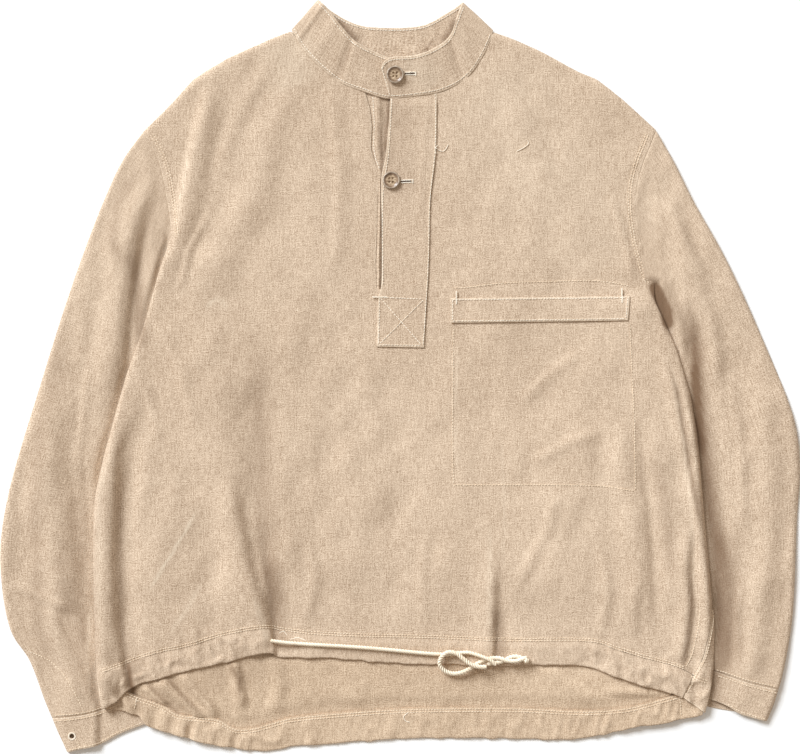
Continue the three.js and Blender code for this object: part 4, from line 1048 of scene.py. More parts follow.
def open_eyelet(points, eyelet):
    """Opens a round hole in the cuff's upper half. The grid is first shifted so that one of its
    corners is the hole's middle; then the square rings of corners round it turn into circles.
    Gives the cells that are left."""
    upper = points[:, :len(shares(CUFF_WIDTH, CUFF_STEPS[0]))]
    centre = np.array([eyelet["x"], eyelet["y"]])
    offset = upper[..., :2] - centre
    distance = np.linalg.norm(offset, axis=-1)
    row, column = np.unravel_index(np.argmin(distance), distance.shape)
    offset = offset - offset[row, column] * smooth(1.4 - distance / 14)[..., None]
    distance = np.maximum(np.linalg.norm(offset, axis=-1), 1e-6)
    rows, columns = np.indices(distance.shape)
    ring = np.maximum(np.abs(rows - row), np.abs(columns - column))
    circle = eyelet["radius"] + (ring - 1) * eyelet["pitch"]
    wanted = circle + (distance - circle) * smooth((ring - 1) / EYELET_RINGS)
    wanted[row, column] = 0
    upper[..., :2] = centre + offset * (wanted / distance)[..., None]
    kept = np.ones((points.shape[0] - 1, points.shape[1]), bool)
    kept[row - 1:row + 1, column - 1:column + 1] = False
    return kept


def build_cuff(node, cuff, cuff_seam, linen, eyelet=None):
    """A short flattened tube, with a round eyelet through its upper half where it has one."""
    up = shares(CUFF_HEIGHT, CUFF_STEPS[1], EDGE_STEPS[:5])
    outer, inner = curve(cuff["outer"][::-1]), curve(cuff["inner"][::-1])

    def half(hem):
        """One flat half of the tube, down to its own hem."""
        return lambda across: patch(curve(hem), curve(cuff_seam), outer, inner, across, up)

    points, round_way = flat_tube(half(cuff["upper_hem"]), half(cuff["lower_hem"]), CUFF_WIDTH,
                                  CUFF_STEPS[0])
    uv = np.stack(np.broadcast_arrays(round_way[None], (up * CUFF_HEIGHT)[:, None]), -1)
    kept = open_eyelet(points, eyelet) if eyelet else None
    return add_cloth(node + "_cloth", node, points, uv, linen, 0.45, closed=True, kept=kept)


# Creases across the collar: place along it, reach before and after, all as shares, and height
COLLAR_CREASES = [
    ("left step", 0.130, 0.004, 0.018, -1.9),
    ("left soft", 0.185, 0.018, 0.018, 0.9),
    ("left end", 0.235, 0.012, 0.012, 1.0),
    ("left corner", 0.395, 0.02, 0.012, 2.4),
    ("back ripple one", 0.435, 0.012, 0.010, 1.2),
    ("back ripple two", 0.47, 0.014, 0.010, 1.0),
    ("back crease", 0.506, 0.010, 0.004, 1.1),
    ("right corner", 0.530, 0.014, 0.012, 2.4),
    ("right ripple", 0.58, 0.012, 0.010, 1.2),
    ("right soft", 0.745, 0.016, 0.018, 0.9),
    ("right step", 0.79, 0.005, 0.022, -1.9),
    ("right front", 0.86, 0.02, 0.018, 0.7),
    ("lap", 0.925, 0.014, 0.01, 0.6),
]
COLLAR_LAP = 2.6
COLLAR_FRONT_LAP = 1.6
COLLAR_SEAT = 0.6


def collar_grid():
    """The standing band: straight across between its seam line and its free edge, with creases
    across it and shallow dents."""
    along = shares(COLLAR_LENGTH, COLLAR_STEPS[0])
    up = shares(COLLAR_HEIGHT, COLLAR_STEPS[1])
    seam = hermite([row[:3] for row in COLLAR_ROWS], along)
    edge = hermite([row[3:] for row in COLLAR_ROWS], along)
    outward = seam[:, :2] - edge[:, :2]
    on_front = np.maximum(1 - smooth((along - 0.2) / 0.06), smooth((along - 0.72) / 0.06))
    lap = (COLLAR_LAP + COLLAR_FRONT_LAP * on_front)[:, None]
    seam[:, :2] += lap * outward / np.linalg.norm(outward, axis=1, keepdims=True)
    seated = np.minimum(seam[:, 2], front_height(seam[:, 0], seam[:, 1]) + COLLAR_SEAT)
    seam[:, 2] += on_front * smooth((along - 0.08) / 0.04) * (seated - seam[:, 2])
    points = (1 - up)[None, :, None] * seam[:, None] + up[None, :, None] * edge[:, None]
    relief = np.zeros(points.shape[:2])
    for _, place, before, after, height in COLLAR_CREASES:
        distance = along[:, None] - place
        width = np.where(distance < 0, before, after)
        relief += height * smooth(1 - np.abs(distance) / width) * (0.6 + 0.4 * up[None, :])
    uv = np.stack(np.broadcast_arrays(along[:, None] * COLLAR_LENGTH, up[None, :] * COLLAR_HEIGHT), -1)
    relief += dents(COLLAR_DENTS, uv[..., 0], uv[..., 1])
    normals = grid_normals(points)
    facing = np.sign(normals[..., 2:].mean())
    points = points + normals * facing * relief[..., None]
    points[..., 2] = np.maximum(points[..., 2], COLLAR_CLOTH / 2)
    return points, uv


# Buttons

# A button's profile from the middle of its face, over the rim, to the middle of its back: radius
# and height
BUTTON_PROFILE = [(0, 0.2), (2.0, 0.15), (4.4, 0.3), (5.9, 0.6), (6.9, 1.15), (7.6, 1.62), (8.2, 1.7),
                  (8.7, 1.2), (9.0, 0.2), (8.7, -0.7), (7.4, -1.3), (4.0, -1.6), (0, -1.6)]
BUTTONS = [
    {"name": "button_collar", "x": -5, "y": 310, "z": 11.5, "tilt": 0.07},
    {"name": "button_placket", "x": -9, "y": 202, "z": 8.6, "tilt": 0.0},
]
HOLE_PLACE = 1.75
HOLE_RADIUS = 0.95
HOLE_DEPTH = 1.3
HOLE_SLOPE = 0.35


def build_button(button, horn):
    """A turned disc: its profile carried round, with four holes sunk where the distance to a hole's
    middle is under its radius."""
    radial = hermite(BUTTON_PROFILE, np.linspace(0, 1, 78))
    radial[[0, -1], 0] = 0.02
    angle = np.linspace(0, 2 * math.pi, 97)[:-1]
    r, h = radial[:, 0][:, None], radial[:, 1][:, None]
    x, y = r * np.cos(angle), r * np.sin(angle)
    z = h + 0 * x
    front = np.arange(len(radial))[:, None] < len(radial) // 3
    for sx in (-1, 1):
        for sy in (-1, 1):
            distance = np.hypot(x - sx * HOLE_PLACE, y - sy * HOLE_PLACE)
            z = z - np.where(front, HOLE_DEPTH * smooth((HOLE_RADIUS - distance) / HOLE_SLOPE + 0.5), 0)
    tilt = button["tilt"]
    points = np.stack([x, y * math.cos(tilt) - z * math.sin(tilt),
                       y * math.sin(tilt) + z * math.cos(tilt)], -1)
    points += np.array([button["x"], button["y"], button["z"]])
    rows, columns = points.shape[:2]
    uv = np.stack(np.broadcast_arrays(r, angle[None] * 3), -1).reshape(-1, 2)
    piece = add_mesh(button["name"] + "_disc", points.reshape(-1, 3), ring_faces(rows, columns), horn,
                     uv)
    last = (rows - 1) * columns
    close_ends(piece, range(columns), range(last, last + columns))
    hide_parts(button["name"])
    return piece


def close_ends(piece, *loops):
    """Fills the small round openings that a carried profile leaves, then turns all faces out."""
    work = bmesh.new()
    work.from_mesh(piece.data)
    work.verts.ensure_lookup_table()
    for loop in loops:
        work.faces.new([work.verts[int(index)] for index in loop])
    bmesh.ops.recalc_face_normals(work, faces=work.faces)
    work.to_mesh(piece.data)
    work.free()


# Cords and threads

CORD_STRANDS = {"place": 1.08, "radius": 1.04, "twist": 9.0}
CORD_STEP = 0.55
CORD_END_RADIUS = 1.2


def ring_faces(rows, columns):
    """Faces of a grid whose last column meets its first."""
    number = np.arange(rows * columns).reshape(rows, columns)
    number = np.concatenate([number, number[:, :1]], axis=1)
    return np.stack([number[:-1, :-1], number[:-1, 1:], number[1:, 1:], number[1:, :-1]],
                    -1).reshape(-1, 4)


def add_tube(name, line, radius, thread):
    """A tube round a line: radius has a row for each point and a column for each angle. The side
    vector is the cross product of the way ahead and straight up."""
    ahead = np.gradient(line, axis=0)
    ahead /= np.linalg.norm(ahead, axis=1, keepdims=True)
    beside = np.cross(ahead, np.array([0, 0, 1.0]))
    beside /= np.maximum(np.linalg.norm(beside, axis=1, keepdims=True), 1e-6)
    above = np.cross(beside, ahead)
    angle = np.linspace(0, 2 * math.pi, radius.shape[1] + 1)[:-1][None, :, None]
    points = line[:, None] + radius[..., None] * (np.cos(angle) * beside[:, None]
                                                  + np.sin(angle) * above[:, None])
    rows, columns = radius.shape
    uv = np.stack(np.broadcast_arrays(angle[..., 0] * 2, travelled(line)[:, None]), -1).reshape(-1, 2)
    piece = add_mesh(name, points.reshape(-1, 3), ring_faces(rows, columns), thread, uv)
    last = (rows - 1) * columns
    close_ends(piece, range(columns), range(last, last + columns))
    return piece


def build_cord(name, route, thread, slack):
    """A twisted cord of three round strands that touch, times its slack where it isn't drawn. Its
    radius is a cos f + sqrt(b^2 - a^2 sin^2 f), where f is the angle from the nearest strand, a the
    strand's place and b its radius, turned as the cord runs."""
    length = float(travelled(hermite(route, np.linspace(0, 1, 400)))[-1])
    line = curve(route)(np.linspace(0, 1, int(length / CORD_STEP)))
    run = np.linspace(0, length, len(line))[:, None]
    place, strand, twist = CORD_STRANDS["place"], CORD_STRANDS["radius"], CORD_STRANDS["twist"]
    angle = np.linspace(0, 2 * math.pi, 25)[:-1][None, :] + run * 2 * math.pi / twist
    third = 2 * math.pi / 3
    f = (angle + third / 2) % third - third / 2
    radius = place * np.cos(f) + np.sqrt(strand ** 2 - (place * np.sin(f)) ** 2)
    radius = slack * radius * (0.45 + 0.55 * round_edge(np.minimum(run, length - run), CORD_END_RADIUS))
    return add_tube(name, line, radius, thread), line * MM, length * MM


KNOT = {"x": 129.5, "y": -290.6, "z": 8.7, "radius": 1.9, "turns": 2.5, "thread": 1.5}


def build_knot(thread):
    """A small wound knot: a thread carried round a ball of its own size, from pole to pole."""
    t = np.linspace(0, 1, 90)
    turn = 2 * math.pi * KNOT["turns"] * t
    polar = math.pi * (0.15 + 0.7 * t)
    line = np.stack([KNOT["x"] + KNOT["radius"] * np.cos(polar) * 1.1,
                     KNOT["y"] + KNOT["radius"] * np.sin(polar) * np.cos(turn),
                     KNOT["z"] + KNOT["radius"] * np.sin(polar) * np.sin(turn)], -1)
    end = round_edge(np.minimum(t, 1 - t) * 12, 1)[:, None]
    return add_tube("drawstring_knot", line, KNOT["thread"] * (0.5 + 0.5 * end) + np.zeros((1, 12)),
                    thread)


def add_drawstring(thread):
    """The drawstring's three stretches, and the small knot at its free end."""
    knot = build_knot(thread)
    runs = [
        ("drawstring_left", CORD_LEFT, 1.0, "object", ()),
        ("drawstring_right", CORD_RIGHT, 1.15, "object", ()),
        ("drawstring_end", CORD_END, 1.15, "knot", (knot,)),
    ]
    for node, route, slack, far_end, pieces in runs:
        piece, path, length = build_cord(node + "_cord", route, thread, slack)
        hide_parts(node)
        [value * MM for value in route[0]]
        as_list(pieces)


LOOSE_THREADS = [
    [(35, 236.5), (40, 233), (44.5, 232), (48, 235.5), (49.5, 239)],
    [(37, 229.5), (36, 233.5), (38, 238)],
    [(8, -345.5), (4, -349), (5.5, -353.5), (10, -355)],
    [(120, 232), (127, 235.5), (132, 240), (131, 243)],
    [(-122, -266), (-114, -269.5), (-104, -268), (-97, -270.5)],
    [(-126, -264.5), (-120, -261.5), (-116, -265.5)],
]


def add_loose_threads(sewing):
    """A few cut thread ends that lie on the cloth."""
    for number, route in enumerate(LOOSE_THREADS):
        line, _ = on_surface(curve(route)(np.linspace(0, 1, 40))[:, :2], top_of_all, 0.5)
        line[:, 2] += 0.25
        add_tube(f"loose_thread_{number + 1}", line, np.full((len(line), 6), 0.32), sewing)


# Stitches

def on_surface(line, height, step=1.0, rise=CLOTH / 2):
    """Points of a broken line at even steps, on top of the cloth whose middle the height gives, and
    the cloth's normals there from the height's central differences."""
    flat = np.array(line, float)
    along = travelled(flat)
    at = np.linspace(0, along[-1], max(3, int(along[-1] / step)))
    x, y = (np.interp(at, along, flat[:, axis]) for axis in range(2))
    slope_x = (height(x + 0.5, y) - height(x - 0.5, y))
    slope_y = (height(x, y + 0.5) - height(x, y - 0.5))
    normal = np.stack([-slope_x, -slope_y, np.ones_like(x)], -1)
    normal /= np.linalg.norm(normal, axis=1, keepdims=True)
    return np.stack([x, y, height(x, y)], -1) + normal * rise, normal


def stitch_mesh(runs, pitch, length, radius, seed):
    """Corners and faces of all stitches on the runs: each is a thread of four sides and four rings
    that rises out of the cloth, lies along it and dives in again."""
    starts, ends, ups = [], [], []
    random = np.random.default_rng(seed)
    for points, normals in runs:
        along = travelled(points)
        first = np.arange(0.3, max(along[-1] - length, 0.4), pitch)
        first = first + random.uniform(-0.12, 0.12, len(first)) * pitch
        last = first + length * random.uniform(0.9, 1.08, len(first))
        starts.append(np.stack([np.interp(first, along, points[:, k]) for k in range(3)], -1))
        ends.append(np.stack([np.interp(last, along, points[:, k]) for k in range(3)], -1))
        ups.append(np.stack([np.interp(first, along, normals[:, k]) for k in range(3)], -1))
    start, end, up = np.concatenate(starts), np.concatenate(ends), np.concatenate(ups)
    ahead = end - start
    ahead /= np.maximum(np.linalg.norm(ahead, axis=1, keepdims=True), 1e-6)
    beside = np.cross(ahead, up)
    beside /= np.maximum(np.linalg.norm(beside, axis=1, keepdims=True), 1e-6)
    up = np.cross(beside, ahead)
    share = np.array([0, 0.22, 0.78, 1])
    size = np.array([0.45, 1, 1, 0.45]) * radius
    rise = np.array([-0.3, 0.4, 0.4, -0.3]) * radius * 2
    turn = np.array([0.25, 0.75, 1.25, 1.75]) * math.pi
    centre = (start[:, None] + share[None, :, None] * (end - start)[:, None]
              + rise[None, :, None] * up[:, None])
    ring = (np.cos(turn)[None, None, :, None] * beside[:, None, None]
            + np.sin(turn)[None, None, :, None] * up[:, None, None])
    points = centre[:, :, None] + size[None, :, None, None] * ring
    count = len(start)
    number = np.arange(count * 16).reshape(count, 4, 4)
    faces = []
    for step in range(3):
        for side in range(4):
            other = (side + 1) % 4
            faces.append(np.stack([number[:, step, side], number[:, step, other],
                                   number[:, step + 1, other], number[:, step + 1, side]], -1))
    faces.append(number[:, 0, ::-1])
    faces.append(number[:, 3])
    faces = np.concatenate(faces)
    corners = points.reshape(-1, 3)
    if signed_volume(corners, faces) < 0:
        faces = faces[:, ::-1]
    return corners, faces


def add_stitches(name, runs, thread, seed, pitch=3.0, length=2.95, radius=0.4):
    """One piece of all the stitches on the runs, each a little uneven by the seed's draws."""
    corners, faces = stitch_mesh(runs, pitch, length, radius, seed)
    return add_mesh(name, corners, faces, thread)


def on_curve(rows, height, count):
    """A run on the cloth along a smooth line through the rows."""
    return on_surface(curve(rows)(np.linspace(0, 1, count))[:, :2], height)


def beside_line(rows, offset, start=0.0, end=1.0, count=160):
    """A curve through the rows moved sideways in the plane: to its left for a positive offset."""
    line = curve(rows)(np.linspace(start, end, count))[:, :2]
    ahead = np.gradient(line, axis=0)
    ahead /= np.linalg.norm(ahead, axis=1, keepdims=True)
    return line + offset * np.stack([-ahead[:, 1], ahead[:, 0]], -1)


FREE_EDGE = [(-22, 83), (-19.5, 92), (-18.5, 150), (-19, 205), (-14.5, 228), (-11.5, 262), (-9, 296)]


def placket_top(x, y):
    """The buttonhole strip lies on the front, and its free edge curls up above the lower button."""
    under_collar = smooth((y - 278) / 10)
    curl = smooth(1 - (x - outline_x(FREE_EDGE, y)) / 9) * smooth((y - 90) / 30) * (1 - under_collar)
    wave = 0.5 + 0.5 * np.sin(y / 11.0)
    fold = 0.5 * smooth(1 - np.abs(x - 26 - 4 * np.sin(y / 40)) / 5) * smooth((y - 110) / 30)
    return (front_height(x, y) + LAYER - 1.1 * under_collar + fold * (1 - under_collar)
            + curl * (0.3 + 0.9 * wave * smooth((y - 195) / 20)))


def placket_below(x, y):
    """The button strip lies under the front's slit: it stands up beside the slit's left edge and
    sinks under the buttonhole strip."""
    left = outline_x(SLIT_LEFT, y)
    free = outline_x(FREE_EDGE, y)
    ridge = smooth(1 - np.abs(x - (left + 0.4 * (free - left))) / 3.4)
    return front_height(x, y) - LAYER + 1.5 * ridge - 1.6 * smooth((x - (left + free) / 2) / 4)


def welt_height(x, y):
    """The welt lies on the front and bulges a little between its seams."""
    return front_height(x, y) + LAYER + 0.4 + dents(WELT_DENTS, x, y)


def top_of_all(x, y):
    """The uppermost cloth under a loose thread: the strips, the tail's hem or the front."""
    on_strip = (np.abs(x - 10) < 28) & (y > 31)
    on_tail = y < outline_y(BACK_CASING_TOP, x)
    front = np.where(on_strip, placket_top(x, y), front_height(x, y) + 0.5)
    return np.where(on_tail, tail_hem_top(x, y), front)


def front_stitches():
    """All seams sewn through the front: armholes, the casing, the slit and the pocket."""
    runs = []
    for offset in (8.2, 5.6):
        runs.append(on_surface(beside_line(ARMHOLE_LEFT, offset, 0.06, 1), front_height))
        runs.append(on_surface(beside_line(ARMHOLE_RIGHT, -offset, 0.04, 0.98), front_height))
    for offset in (3.2, 0.9):
        line = beside_line(FRONT_CASING_TOP, offset, 0.012, 0.985, 420)
        runs.append(on_surface(line, front_height))
    pocket = [
        [(55, 50), (54.5, 0), (54, -60), (55, -111)],
        [(55, -111), (206, -112), (241, -117)],
        [(236, 55), (240, -41), (241, -117)],
        [(53, 91), (72, 92.3), (103, 96), (154, 98), (206, 98.5), (236, 93.5)],
    ]
    runs += [on_curve(rows, front_height, 120) for rows in pocket]
    felled = beside_line(SEAM_RIGHT, -11.5, 0.05, 0.98, 60)
    runs.append(on_surface(felled, front_height))
    return runs


def placket_stitches():
    """Edge stitching of the placket and the crossed box at its foot."""
    right = [(36, 291), (36.6, 268), (35.6, 229), (30.8, 183), (29, 121), (25.5, 57), (23.6, 33)]
    left = [(-8.5, 286), (-9.6, 262), (-12, 229), (-17.3, 190), (-17.6, 92)]
    box = [
        [(-20, 82), (24.5, 80)], [(-21.5, 33), (22.5, 32.5)], [(-21, 82), (-22, 33)],
        [(-20, 81), (22, 33)], [(23.8, 79), (-21, 34)],
    ]
    runs = [on_curve(rows, placket_top, 100) for rows in (right, left)]
    runs += [on_surface(line, placket_top) for line in box]
    runs.append(on_curve([(-28, 288), (-26.5, 258), (-27, 236), (-20.5, 212)], placket_below, 60))
    return runs


def welt_stitches():
    """Edge stitching on the four sides of the welt."""
    edges = [
        [(54, 79.3), (110, 79.8), (170, 80.6), (234, 81.2)],
        [(54, 57.5), (110, 58.2), (170, 59), (232, 60)],
        [(54, 79), (54, 57.5)],
        [(233.6, 81), (231.6, 60)],
    ]
    return [on_surface(line, welt_height) for line in edges]


def tail_stitches():
    """Two rows along the tail's folded hem, and one across each of its ends."""
    runs = []
    for offset in (-1.8, -4.4):
        runs.append(on_surface(beside_line(BACK_CASING_TOP, offset, 0.03, 0.97, 420), tail_hem_top))
    runs.append(on_surface([(-270, -329), (-273, -341)], tail_hem_top))
    runs.append(on_surface([(287, -327), (289, -349)], tail_hem_top))
    return runs


def wrap_stitches():
    """The seam of the wrapped strip, and two short rows across it."""
    runs = [on_surface(beside_line(WRAP_SEAM, 2.2, 0.02, 0.95, 60), wrap_top)]
    runs.append(on_surface([(300, -304.5), (309, -309), (317, -312)], wrap_top))
    runs.append(on_surface([(298.5, -307.3), (308, -311.8), (316.4, -315)], wrap_top))
    return runs


def sleeve_stitches():
    """Cuff seams, the curved reinforcement at the left wrist, hems and the sleeve's felled seams."""
    lines = [
        [(-355, -348), (-324, -344.5), (-306, -339.5), (-288, -332.5)],
        [(-355, -354), (-324, -350), (-306, -345.4), (-284, -337.5)],
        [(-383, -281), (-358, -293), (-341, -311), (-331, -329), (-324, -345)],
        [(-340, -383.5), (-329, -381), (-309, -375.6), (-289, -365), (-264, -355)],
        [(-334, -371), (-327, -382)],
        [(386, -318), (362, -312.4), (340, -305.6), (325, -301)],
        [(387, -324.5), (362, -318.4), (340, -311.6), (324, -306.5)],
        [(376, -351.5), (362, -347.6), (349, -343.4), (337, -336)],
    ]
    return [on_curve(rows, sleeve_height, 80) for rows in lines]


def surface_of(points):
    """A height function that reads the nearest point of a grid."""
    flat = points.reshape(-1, 3)

    def height(x, y):
        """Height of the grid's nearest point."""
        gap_x = np.asarray(x)[..., None] - flat[:, 0]
        gap_y = np.asarray(y)[..., None] - flat[:, 1]
        return flat[np.argmin(gap_x ** 2 + gap_y ** 2, axis=-1), 2]

    return height


def buttonhole_runs(start, end, height):
    """Whip stitches on both sides of a buttonhole and a bar across its far end."""
    runs = []
    (x0, y0), (x1, y1) = start, end
    for side in (1, -1):
        middle = [(x0, y0 + side * 1.25), (x1 + 0.4, y1 + side * 1.25)]
        runs += across_line(*middle, 1.7, height, 0.62)
    runs += across_line((x1 + 1.1, y1 + 2.3), (x1 + 1.1, y1 - 2.3), 1.7, height, 0.62)
    return runs


def add_slit(name, start, end, height, dark):
    """The slit of a buttonhole: a dark tube between its stitches, painted shade where the opening lies."""
    line, _ = on_surface([start, end], height, 0.5)
    radius = 0.7 * round_edge(np.minimum(np.arange(len(line)), np.arange(len(line))[::-1]), 4)
    add_tube(name, line, np.maximum(radius, 0.12)[:, None] + np.zeros((1, 8)), dark)


def eyelet_runs(height):
    """Stitches that run outwards all round the eyelet."""
    angle = np.linspace(0, 2 * math.pi, 33)[:-1]
    ray = np.stack([np.cos(angle), np.sin(angle)], -1)
    centre = np.array([EYELET["x"], EYELET["y"]])
    inner, outer = centre + (EYELET["radius"] - 0.2) * ray, centre + (EYELET["radius"] + 1.9) * ray
    return [on_surface(pair, height, 0.4) for pair in zip(inner, outer)]


def collar_stitches(points):
    """Two rows along the band's seam and one near its free edge and its rounded end."""
    normals = grid_normals(points)
    rows, columns = points.shape[:2]
    up = shares(COLLAR_HEIGHT, COLLAR_STEPS[1])
    runs = []
    for place, first, last in ((0.055, 0.02, 0.30), (0.055, 0.69, 0.985), (0.94, 0.02, 0.30),
                               (0.94, 0.69, 0.985), (0.94, 0.34, 0.64)):
        column = int(np.argmin(np.abs(up - place)))
        start, end = int(first * rows), int(last * rows)
        line, normal = points[start:end, column], normals[start:end, column]
        normal = normal * np.sign(normal[:, 2:])
        runs.append((line + normal * (COLLAR_CLOTH / 2), normal))
    edge = int(0.978 * rows)
    line, normal = points[edge, 2:columns - 2], normals[edge, 2:columns - 2]
    normal = normal * np.sign(normal[:, 2:])
    runs.append((line + normal * (COLLAR_CLOTH / 2), normal))
    return runs


def across_line(start, end, width, height, pitch):
    """Short lines laid side by side across the way from start to end, for bars and buttonholes."""
    start, end = np.array(start, float), np.array(end, float)
    ahead = (end - start) / np.linalg.norm(end - start)
    side = np.array([-ahead[1], ahead[0]])
    count = int(np.linalg.norm(end - start) / pitch)
    middles = start + (end - start) * (np.arange(count)[:, None] + 0.5) / count
    return [on_surface([middle - side * width / 2, middle + side * width / 2], height, 0.4)
            for middle in middles]


def bar_stitches():
    """Bars at both ends of the welt and at the slit's foot."""
    runs = across_line((58, 74.5), (58, 88.5), 2.2, welt_height, 0.75)
    runs += across_line((228, 76), (228, 91), 2.2, welt_height, 0.75)
    runs += across_line((-28.5, 82), (-13, 82), 2.2, placket_top, 0.75)
    return runs


# Materials

def linear(red, green, blue):
    """A colour given as seen on screen, as the shader wants it."""
    def one(value):
        """One channel, by the usual curve of screens."""
        value /= 255
        return value / 12.92 if value <= 0.04045 else ((value + 0.055) / 1.055) ** 2.4
    return (one(red), one(green), one(blue), 1.0)


class Nodes:
    """Short calls for the nodes of one material."""

    def __init__(self, name):
        """A new material with its usual surface."""
        self.material = bpy.data.materials.new(name)
        self.material.use_nodes = True
        self.tree = self.material.node_tree
        self.shader = self.tree.nodes["Principled BSDF"]

    def add(self, kind, **values):
        """Adds a node with its values."""
        node = self.tree.nodes.new(kind)
        for key, value in values.items():
            setattr(node, key, value)
        return node

    def link(self, source, target):
        """Joins two sockets."""
        self.tree.links.new(source, target)

    def put(self, socket, value):
        """Joins a socket, or writes a number or colour into it."""
        if isinstance(value, bpy.types.NodeSocket):
            self.link(value, socket)
        else:
            socket.default_value = value

    def math(self, operation, first, second=0.0, clamp=False):
        """One sum, product or function of one or two values."""
        node = self.add("ShaderNodeMath", operation=operation, use_clamp=clamp)
        self.put(node.inputs[0], first)
        self.put(node.inputs[1], second)
        return node.outputs[0]

    def ramp(self, value, low, high, start=0.0, end=1.0):
        """value from low to high becomes start to end, smoothly."""
        node = self.add("ShaderNodeMapRange", interpolation_type="SMOOTHSTEP")
        self.put(node.inputs["Value"], value)
        for socket, number in (("From Min", low), ("From Max", high), ("To Min", start), ("To Max", end)):
            node.inputs[socket].default_value = number
        return node.outputs["Result"]

    def noise(self, vector, scale, stretch=(1, 1, 1), turn=0.0, detail=2.0, roughness=0.5, offset=0.0):
        """Clouds from 0 to 1, finer for a larger scale, stretched, turned and moved by the offset."""
        mapping = self.add("ShaderNodeMapping")
        mapping.inputs["Scale"].default_value = stretch
        mapping.inputs["Rotation"].default_value = (0, 0, turn)
        mapping.inputs["Location"].default_value = (offset, offset * 0.7, 0)
        self.link(vector, mapping.inputs["Vector"])
        node = self.add("ShaderNodeTexNoise")
        node.inputs["Scale"].default_value = scale
        node.inputs["Detail"].default_value = detail
        node.inputs["Roughness"].default_value = roughness
        self.link(mapping.outputs[0], node.inputs["Vector"])
        return node.outputs["Fac"]

    def mix(self, share, first, second):
        """The first colour for a share of 0 and the second for 1."""
        node = self.add("ShaderNodeMix", data_type="RGBA")
        self.put(node.inputs["Factor"], share)
        self.put(node.inputs[6], first)
        self.put(node.inputs[7], second)
        return node.outputs[2]

    def add_up(self, base, terms):
        """The base plus each value times its weight."""
        total = base
        for value, weight in terms:
            part = self.add("ShaderNodeMath", operation="MULTIPLY_ADD")
            self.put(part.inputs[0], value)
            part.inputs[1].default_value = weight
            self.put(part.inputs[2], total)
            total = part.outputs[0]
        return total

    def bump(self, height, strength, distance):
        """Lets the light see small heights, of this many metres, that the form doesn't have."""
        node = self.add("ShaderNodeBump")
        node.inputs["Strength"].default_value = strength
        node.inputs["Distance"].default_value = distance
        self.link(height, node.inputs["Height"])
        self.link(node.outputs[0], self.shader.inputs["Normal"])


THREAD_PITCH = 0.0008
LINEN_DARK = linear(156, 130, 105)
LINEN_LIGHT = linear(236, 214, 189)
LINEN_PALE = linear(251, 237, 214)
# The dark brown of the painted shade in the hollows
LINEN_PAINTED_SHADE = linear(114, 86, 62)
INSIDE_DARK = linear(156, 129, 102)
INSIDE_LIGHT = linear(236, 212, 184)


def make_linen(name, dark, light, offset):
    """Plain-woven flax: short slubs run along both threads, and grain and broad stains lie over them.
    Worn places are paler, and painted shade darkens the hollows. The weave is a checker of raised
    threads: sin u times sin v."""
    nodes = Nodes(name)
    uv = nodes.add("ShaderNodeUVMap", uv_map="cloth").outputs[0]
    split = nodes.add("ShaderNodeSeparateXYZ")
    nodes.link(uv, split.inputs[0])
    warp = nodes.noise(uv, 1, (900, 90, 1), 0.0, 2, 0.6, offset)
    weft = nodes.noise(uv, 1, (120, 900, 1), 0.0, 2, 0.6, offset + 3)
    long_warp = nodes.noise(uv, 1, (520, 16, 1), 0.0, 1, 0.4, offset + 7)
    long_weft = nodes.noise(uv, 1, (16, 520, 1), 0.0, 1, 0.4, offset + 9)
    broad = nodes.noise(uv, 6, (1, 1, 1), 0.4, 3, 0.55, offset)
    patchy = nodes.noise(uv, 36, (1, 1, 1), 0.0, 4, 0.6, offset + 5)
    grain = nodes.noise(uv, 900, (1, 1, 1), 0.0, 2, 0.7, offset + 2)
    waves = [nodes.math("SINE", nodes.math("MULTIPLY", split.outputs[axis], math.pi / THREAD_PITCH))
             for axis in range(2)]
    checker = nodes.math("MULTIPLY", *waves)
    shades = [(warp, 0.95), (weft, 0.7), (long_warp, 0.2), (long_weft, 0.15), (broad, 0.35),
              (patchy, 0.2), (grain, 2.6), (checker, 0.04)]
    middle = 0.5 - sum(weight for _, weight in shades[:-1]) / 2
    tone = nodes.math("ADD", nodes.add_up(middle, shades), 0.0, clamp=True)
    colour = nodes.mix(tone, dark, light)

    fleck = nodes.ramp(nodes.noise(uv, 260, (1, 2.4, 1), 0.5, 1, 0.5, offset + 4), 0.74, 0.8)
    colour = nodes.mix(nodes.math("MULTIPLY", fleck, 0.6), colour, LINEN_PALE)
    pale = nodes.add("ShaderNodeAttribute", attribute_name="pale").outputs["Fac"]
    broken = nodes.math("MULTIPLY", pale, nodes.ramp(warp, 0.25, 0.7, 0.45, 1.0))
    colour = nodes.mix(nodes.math("MULTIPLY", broken, 0.6), colour, LINEN_PALE)
    # Painted shade: the hollows' mark mixes the dark brown into the colour
    soil_and_painted_shade = nodes.add("ShaderNodeAttribute", attribute_name="soil_and_painted_shade").outputs["Fac"]
    colour = nodes.mix(nodes.math("MULTIPLY", soil_and_painted_shade, 0.9), colour, LINEN_PAINTED_SHADE)
    nodes.link(colour, nodes.shader.inputs["Base Color"])

    crumpled = nodes.noise(uv, 95, (1, 1, 1), 0.3, 4, 0.55, offset + 6)
    nodes.bump(nodes.add_up(0.0, [(crumpled, 0.6), (warp, 0.14), (weft, 0.12), (grain, 0.1)]), 0.8, 0.001)
    nodes.shader.inputs["Roughness"].default_value = 0.92
    nodes.shader.inputs["Specular IOR Level"].default_value = 0.2
    nodes.shader.inputs["Sheen Weight"].default_value = 0.12
    nodes.shader.inputs["Sheen Roughness"].default_value = 0.5
    return nodes.material


